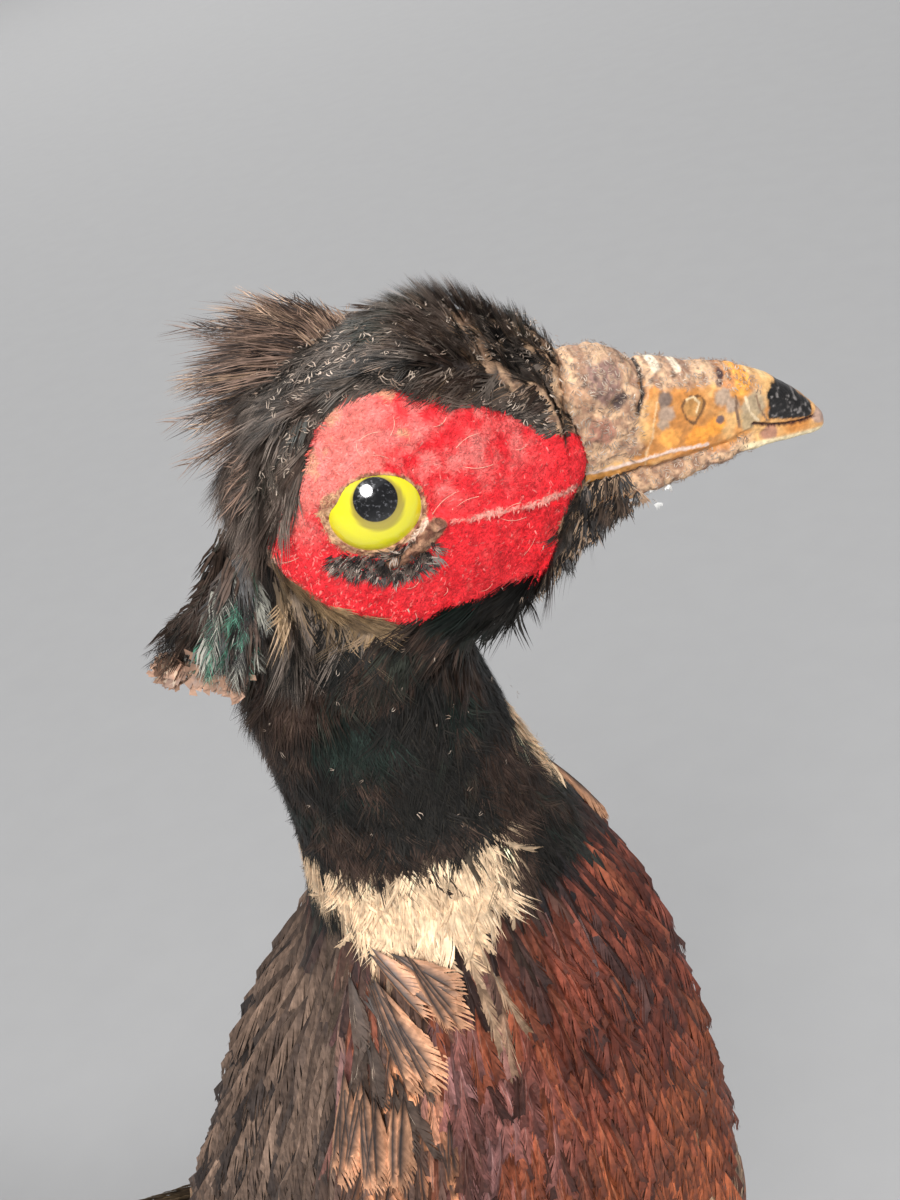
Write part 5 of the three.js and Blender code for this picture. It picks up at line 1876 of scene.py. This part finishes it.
def bill_colour(q):
    """Brown at the nostrils, amber along its length, a black patch by the tip and a pale lower edge."""
    side = q * (1, 0, 1)
    ahead, up = q[:, 0], q[:, 2]
    amber = mix((0.56, 0.23, 0.06), (0.80, 0.46, 0.18), patchy(side, 3.0, 71))
    dusty = mix((0.34, 0.19, 0.12), (0.70, 0.45, 0.27), patchy(side, 1.0, 72))
    colour = mix(amber, dusty, bill_crust(q))
    gape = line_distance(q, ((23, -7.4), (28, -7.6), (33.5, -7.8)))
    colour = mix(colour, (0.60, 0.27, 0.07), ramp(1.1, 0.6, gape + 0.8 * wobble(side, 1.4, 73)))
    for spot_ahead, spot_up, size, tint in BILL_SPOTS:
        share = np.exp(-((ahead - spot_ahead) ** 2 + (up - spot_up) ** 2) / size**2)
        colour = mix(colour, tint, ramp(0.30, 0.62, share + 0.55 * wobble(side, 0.9, 76)))
    speckled = ramp(0.60, 0.72, rough(side, 0.55, 83)) * bill_crust(q)
    colour = mix(colour, (0.66, 0.44, 0.28), 0.5 * speckled)
    soiled = ramp(0.68, 0.80, rough(side, 0.8, 84)) * bill_crust(q)
    colour = mix(colour, (0.06, 0.04, 0.032), 0.7 * soiled)
    pale = ramp(-9.7, -10.2, up + 0.14 * (ahead - 49)) * ramp(45.5, 47.5, ahead)
    colour = mix(colour, (0.82, 0.68, 0.42), pale)
    patch = edge_distance(q[:, [0, 2]], np.array(BILL_TIP_PATCH)) + 0.6 * wobble(side, 0.7, 77)
    soot = mix((0.012, 0.011, 0.011), (0.22, 0.20, 0.19), ramp(0.60, 0.8, rough(side, 0.4, 78)))
    colour = mix(colour, soot, ramp(0.12, -0.12, patch))
    for breadth, _, tint, line in BILL_LINES:
        near = line_distance(q, line) + 0.25 * wobble(side, 0.7, 79)
        colour = mix(colour, tint, ramp(1.15 * breadth, 0.5 * breadth, near))
    return colour * (0.84 + 0.32 * noise(side, 0.4, 80)[:, None])


def bill_relief(q):
    """How far the horn stands out from the smoothed shape: nostril mounds, crust, flakes and lines."""
    side = q * (1, 0, 1)
    ahead, up = q[:, 0], q[:, 2]
    crust = bill_crust(q)
    mound = 0.9 * np.exp(-(((ahead - 30.4) / 2.6) ** 2 + ((up - 4.4) / 2.6) ** 2))
    sunk = 0.7 * np.exp(-(((ahead - 31.6) / 1.3) ** 2 + ((up - 1.3) / 0.8) ** 2))
    sunk = sunk + 0.5 * np.exp(-(((ahead - 35.2) / 1.2) ** 2 + ((up - 5) / 2.5) ** 2))
    coarse = (0.25 + 0.6 * crust) * wobble(side, 2.1, 81)
    fine = (0.08 + 0.34 * crust) * wobble(side, 0.7, 82)
    lip = 0.3 * ramp(-7.2, -7.9, up) * ramp(33, 35, ahead) * ramp(46, 44, ahead)
    relief = mound - sunk + coarse + fine + lip
    for breadth, deep, _, line in BILL_LINES:
        relief = relief - deep * ramp(2 * breadth, 0.3 * breadth, line_distance(q, line))
    plate_edge = edge_distance(q[:, [0, 2]], np.array(BILL_PLATE))
    return relief + 0.22 * ramp(0.15, -0.15, plate_edge)


def make_bill():
    """One worn, flaking bill over both packed halves, whose mouth shows as a line by the tip alone."""
    halves = ("bill_upper", "bill_lower")
    points, faces, _ = node_mesh(halves)
    q = to_head(np.array(points))
    lower = len(frame["nodes"][halves[0]].data.vertices)
    q[lower:, 2] += BILL_GAP
    points, quads = remeshed(from_head(q), faces, 0.5)
    points = relaxed(points, edges_of(quads), 6)
    points, quads = halved(points, quads)
    points = relaxed(points, edges_of(quads), 4)
    points = points + normals_of(points, quads) * bill_relief(to_head(points))[:, None]
    q = to_head(points)
    faces = np.vstack((quads[:, [0, 1, 2]], quads[:, [0, 2, 3]]))
    colours = {"Tint": bill_colour(q), "Masks": np.repeat(bill_crust(q)[:, None], 3, 1)}
    mesh_object("bill_horn", points, faces, bill_material(), colours, replaced=halves)
    return points, faces


def eye_material():
    """Yellow glass with a black pupil, a darker iris round it, a painted shadow crescent below the pupil and
    dust on its face.
    """
    look = Look("glass_eye", Roughness=0.08, Specular_IOR_Level=0.6, Coat_Weight=0.8, Coat_Roughness=0.10)
    rings = look.node("SeparateColor", {"Color": look.tint("Rings")})
    reach, shade = rings.outputs["Red"], rings.outputs["Green"]
    ramp_node = look.node("ValToRGB", {"Fac": reach})
    stops = ramp_node.color_ramp
    stops.elements[0].position, stops.elements[0].color = 0.0, (0.006, 0.006, 0.007, 1)
    stops.elements[1].position, stops.elements[1].color = 1.0, (0.62, 0.50, 0.02, 1)
    for place, colour in (
        (0.355, (0.006, 0.006, 0.007, 1)), (0.37, (0.55, 0.47, 0.03, 1)), (0.43, (0.80, 0.70, 0.03, 1)),
        (0.70, (0.88, 0.82, 0.02, 1)), (0.93, (0.80, 0.72, 0.02, 1)),
    ):
        stops.elements.new(place).color = colour
    # Painted shadow: the crescent mask darkens the iris below the pupil to ochre.
    depth = look.blend(shade, ramp_node.outputs["Color"], (0.30, 0.22, 0.05, 1))
    in_pupil = look.spread(reach, 1.0, 0.0, 0.352, 0.366)
    depth = look.blend(in_pupil, depth, (0.006, 0.006, 0.007, 1))
    dust = look.noise(2400, 4.0)
    specks = look.spread(dust, 0.0, 0.32, 0.56, 0.75)
    seen = look.times(specks, look.spread(in_pupil, 0.12, 1.0))
    look.join("Base Color", look.blend(seen, depth, (0.42, 0.42, 0.45, 1)))
    look.join("Roughness", look.spread(dust, 0.05, 0.32, 0.4, 0.8))
    return look.material


def make_eyes():
    """Glass balls, with each point's share of the way out from the pupil's middle as a colour."""
    material = eye_material()
    for name, side in (("left", 1), ("right", -1)):
        rings, spokes = 64, 96
        polar = np.linspace(0, math.pi, rings)[:, None]
        round_it = np.linspace(0, 2 * math.pi, spokes, endpoint=False)[None]
        gaze = unit(np.array((GAZE[0], side * GAZE[1], GAZE[2])))
        first = unit(np.cross(gaze, (0, 0, 1)))
        second = np.cross(gaze, first)
        away = (
            np.cos(polar)[..., None] * gaze + (np.sin(polar) * np.cos(round_it))[..., None] * first
            + (np.sin(polar) * np.sin(round_it))[..., None] * second
        ).reshape(-1, 3)
        points = from_head(away * EYE_RADIUS + np.array((0, side * EYE_OUT, 0)))
        row, column = np.meshgrid(np.arange(rings - 1), np.arange(spokes), indexing="ij")
        near, far = row * spokes + column, row * spokes + (column + 1) % spokes
        faces = np.stack((near, near + spokes, far + spokes, far), -1).reshape(-1, 4)
        if side < 0:
            faces = faces[:, ::-1]
        reach = np.repeat(polar[:, 0] / math.radians(60), spokes)
        # Painted shadow: a dull crescent below the pupil, as if the pupil stood a little deep in the glass.
        below = away @ unit(gaze + np.array((0.02, 0, -0.10)))
        crescent = ramp(math.cos(math.radians(28)), math.cos(math.radians(25)), below)
        colours = np.stack((reach, 0.75 * crescent, np.zeros(len(points))), -1)
        outward = dot(normals_of(points, faces), points - from_head((0, side * EYE_OUT, 0))).sum() > 0
        if not outward:
            faces = faces[:, ::-1]
        mesh_object(
            "glass_eye_" + name, points, faces, material, {"Rings": colours},
            replaced=("eye_" + name,),
        )


def make_claws():
    """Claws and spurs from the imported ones, with smooth worn horn."""
    material = horn_material("claw_surface", 0.75, 1.2, 0.4)
    names = [n for n in frame["nodes"] if n.startswith(("claw_", "spur_"))]
    for name in names:
        points, faces, _ = node_mesh((name,))
        points, quads = remeshed(points, faces, 0.35)
        points = relaxed(points, edges_of(quads), 4)
        low, high = points.min(0), points.max(0)
        tip = np.linalg.norm((points - low) / (high - low + 1), axis=1)[:, None]
        colour = np.array((0.10, 0.075, 0.055)) * (0.6 + 0.6 * tip) + 0.03 * rough(points, 1.5, 85)[:, None]
        mesh_object(name + "_horn", points, quads, material, {"Tint": colour}, replaced=(name,))


# The shank's front line above the plinth's top, and each toe's angle, length and thickness.
SHANK_LINE = ((-36.5, 33, 74), (-29.5, 33, 52), (-21.2, 33, 30), (-15, 33, 15))
TOES = ((-28, 33, 3.3), (2, 44, 3.6), (32, 35, 3.3), (172, 14, 2.5))
PLINTH_TOP, FOOT_X, HIP_OUT = 22.0, -17.0, 33.0
TOE_UP, TOE_PLATE = 5.0, 2.4  # how high the toes' middles lie, and how long each plate is


def plate():
    """One curved scale across a toe or shank, wrapped over its upper half."""
    turns = np.linspace(0.15, math.pi - 0.15, 5)
    rows = [
        [(math.cos(a) * 0.5, along, math.sin(a) * 0.5 + lift) for a in turns]
        for along, lift in ((0, 0.0), (0.55, 0.07), (1.0, 0.05), (1.1, -0.02))
    ]
    strips = []
    for near, far in zip(rows, rows[1:]):
        strips.append([point for pair in zip(near, far) for point in pair])
    return Form(strips)


def make_scales(tree):
    """Overlapping plates down the front of each shank and along the toes."""
    rng = np.random.default_rng(61)
    form = plate()
    coat = Coat("leg_scales", horn_material("scale_surface", 0.75, 1.2, 0.5), "leg_scale")
    for side in (1, -1):
        # Each line with its number of plates and their breadth at its start and end.
        lines = [(np.array(SHANK_LINE) * (1, side, 1), 26, 8.4, 8.0)]
        for angle, length, thick in TOES:
            turn = math.radians(angle)
            way = np.array((math.cos(turn), -side * math.sin(turn), 0))
            base = np.array((FOOT_X, side * HIP_OUT, 0))
            share = np.array((0.12, 0.5, 0.98))[:, None]
            toe = base + way * length * share + np.array((0, 0, TOE_UP))
            lines.append((toe, int(length / TOE_PLATE), 1.8 * thick, 1.6 * thick))
        for line, count, first, last in lines:
            path = even(line + np.array((0, 0, PLINTH_TOP)), count)
            ways = unit(np.gradient(path, axis=0))
            outer = np.array((1.0, 0, 0.3)) if line is lines[0][0] else np.array((0, 0, 1.0))
            normals = square(outer, ways)
            found = [tree.ray_cast(p + n * 9, -n, 16) for p, n in zip(path, normals)]
            width = np.linspace(first, last, count)
            kept = np.array([hit[0] is not None for hit in found])
            tops = np.array([hit[0] if hit[0] is not None else p for hit, p in zip(found, path)])
            roots = tops - normals * (0.5 * width - 0.25)[:, None]
            length = np.linalg.norm(np.diff(path, axis=0), axis=1).mean()
            across = np.cross(ways, normals)
            unit_x, unit_y, unit_z = form.points.T[:, None]
            x, y, z = unit_x * width[:, None], unit_y * np.full((count, 1), length), unit_z * width[:, None]
            spots = spread_out(roots, (x, across), (y, ways), (z, normals))
            tone = mix((0.22, 0.18, 0.13), (0.36, 0.29, 0.21), rng.random(count))
            edge = 1 - 0.45 * ramp(0.85, 1.1, form.points[:, 1])[None, :, None]
            tints = tone[:, None] * edge
            coat.add(spots[kept], form.faces, tints[kept], patches(roots[kept], form, (0.2, 1)))
    coat.build()


# ---- Plinth, floor, lamps and camera -------------------------------------------------------------


def finish_plinth():
    mesh = frame["nodes"]["stand_base"].data
    mesh.materials.clear()
    mesh.materials.append(wood_material())


FLOOR_DARK, FLOOR_LIGHT = (0.325, 0.323, 0.322, 1), (0.345, 0.343, 0.342, 1)


def make_floor():
    """A pale floor that curves up into the wall of a round room, so that no edge shows."""
    flat, bend, wall, spokes = 7.0, 3.0, 4.0, 96  # metres, and how many sides
    turns = np.linspace(0, math.pi / 2, 13)
    profile = [(0.01, 0.0), (flat, 0.0)]
    profile += [(flat + bend * math.sin(t), bend * (1 - math.cos(t))) for t in turns[1:]]
    profile.append((flat + bend, bend + wall))
    round_it = np.linspace(0, 2 * math.pi, spokes, endpoint=False)
    points = [(r * math.cos(a), r * math.sin(a), z) for r, z in profile for a in round_it]
    faces = [tuple(range(spokes))]
    for row in range(len(profile) - 1):
        for k in range(spokes):
            near, following = row * spokes + k, row * spokes + (k + 1) % spokes
            faces.append((near, following, following + spokes, near + spokes))
    mesh = bpy.data.meshes.new("floor")
    mesh.from_pydata(points, [], faces)
    mesh.polygons.foreach_set("use_smooth", [True] * len(faces))
    look = Look("floor_paint", Roughness=0.85, Specular_IOR_Level=0.2)
    look.join("Base Color", look.blend(look.noise(40, 3.0), FLOOR_DARK, FLOOR_LIGHT))
    mesh.materials.append(look.material)
    floor = bpy.data.objects.new("floor", mesh)
    bpy.context.scene.collection.objects.link(floor)


VIEW_FROM = (0.190465, -0.151068, 0.504564)  # metres
VIEW_PITCH, VIEW_ROLL = 28.6, 18.0  # degrees down, and over to the right
LENS, SENSOR = 51.72, 36.0


def make_camera():
    """The photographer stands by the bird's right cheek and looks down at its head."""
    turn, pitch, roll = (math.radians(a) for a in (HEAD_TURN, VIEW_PITCH, VIEW_ROLL))
    ahead = np.array((-math.sin(turn) * math.cos(pitch), math.cos(turn) * math.cos(pitch), -math.sin(pitch)))
    level = unit(np.cross(ahead, (0, 0, 1)))
    fall = -np.cross(level, ahead)
    right = math.cos(roll) * level + math.sin(roll) * fall
    down = -math.sin(roll) * level + math.cos(roll) * fall
    data = bpy.data.cameras.new("camera")
    data.lens, data.sensor_width, data.sensor_fit = LENS, SENSOR, "AUTO"
    data.clip_start = 0.01
    camera = bpy.data.objects.new("camera", data)
    axes = np.eye(4)
    axes[:3, 0], axes[:3, 1], axes[:3, 2], axes[:3, 3] = right, -down, -ahead, VIEW_FROM
    camera.matrix_world = Matrix(axes)
    bpy.context.scene.collection.objects.link(camera)
    bpy.context.scene.camera = camera


def make_lamp(name, place, target, power, size):
    data = bpy.data.lights.new(name, "AREA")
    data.shape = "DISK"
    data.energy, data.size = power, size
    lamp = bpy.data.objects.new(name, data)
    ahead = unit(np.array(target) - np.array(place))
    right = unit(np.cross(ahead, (0, 0, 1)))
    axes = np.eye(4)
    axes[:3, 0], axes[:3, 1], axes[:3, 2], axes[:3, 3] = right, np.cross(right, ahead), -ahead, place
    lamp.matrix_world = Matrix(axes)
    bpy.context.scene.collection.objects.link(lamp)


# Each lamp's place, what it faces, its watts and its breadth, in metres.
LAMPS = {
    "key": ((0.55, -0.75, 1.05), (0.03, 0, 0.36), 15.0, 0.45),
    "overhead": ((-1.8, 2.4, 8.4), (-1.2, 1.5, 0), 600.0, 9.0),
    "far_side": ((-2.6, 3.1, 2.6), (-0.1, 0, 0.3), 58.0, 2.8),
}
ROOM_LIGHT, ROOM_STRENGTH = (0.66, 0.67, 0.70, 1), 0.75


def make_light():
    """Soft light from by the camera, from overhead and from the far side, in a pale room."""
    for name, values in LAMPS.items():
        make_lamp(name, *values)
    world = bpy.data.worlds.new("room")
    world.use_nodes = True
    glow = world.node_tree.nodes["Background"].inputs
    glow["Color"].default_value = ROOM_LIGHT
    glow["Strength"].default_value = ROOM_STRENGTH
    bpy.context.scene.world = world
    bpy.context.scene.view_settings.view_transform = "Standard"


def main():
    """Builds the camera, the bird from its skin outwards, the plinth's finish and the studio."""
    make_camera()
    points, faces = make_skin()
    surface = Surface(points, faces)
    make_coats(surface)
    for side, name in ((1, "left"), (-1, "right")):
        make_wing(side, name)
    make_tail()
    make_crest()
    make_ear_tuft("left", 33)
    make_ear_tuft("right", 34)
    tree = BVHTree.FromPolygons(points.tolist(), faces.tolist())
    make_pile(surface)
    make_fold(tree)
    make_shoulder(tree)
    bill_points, bill_faces = make_bill()
    make_chin(bill_points, bill_faces)
    make_dust(surface, bill_points, bill_faces)
    make_eyes()
    make_claws()
    make_scales(tree)
    finish_plinth()
    make_floor()
    make_light()


main()
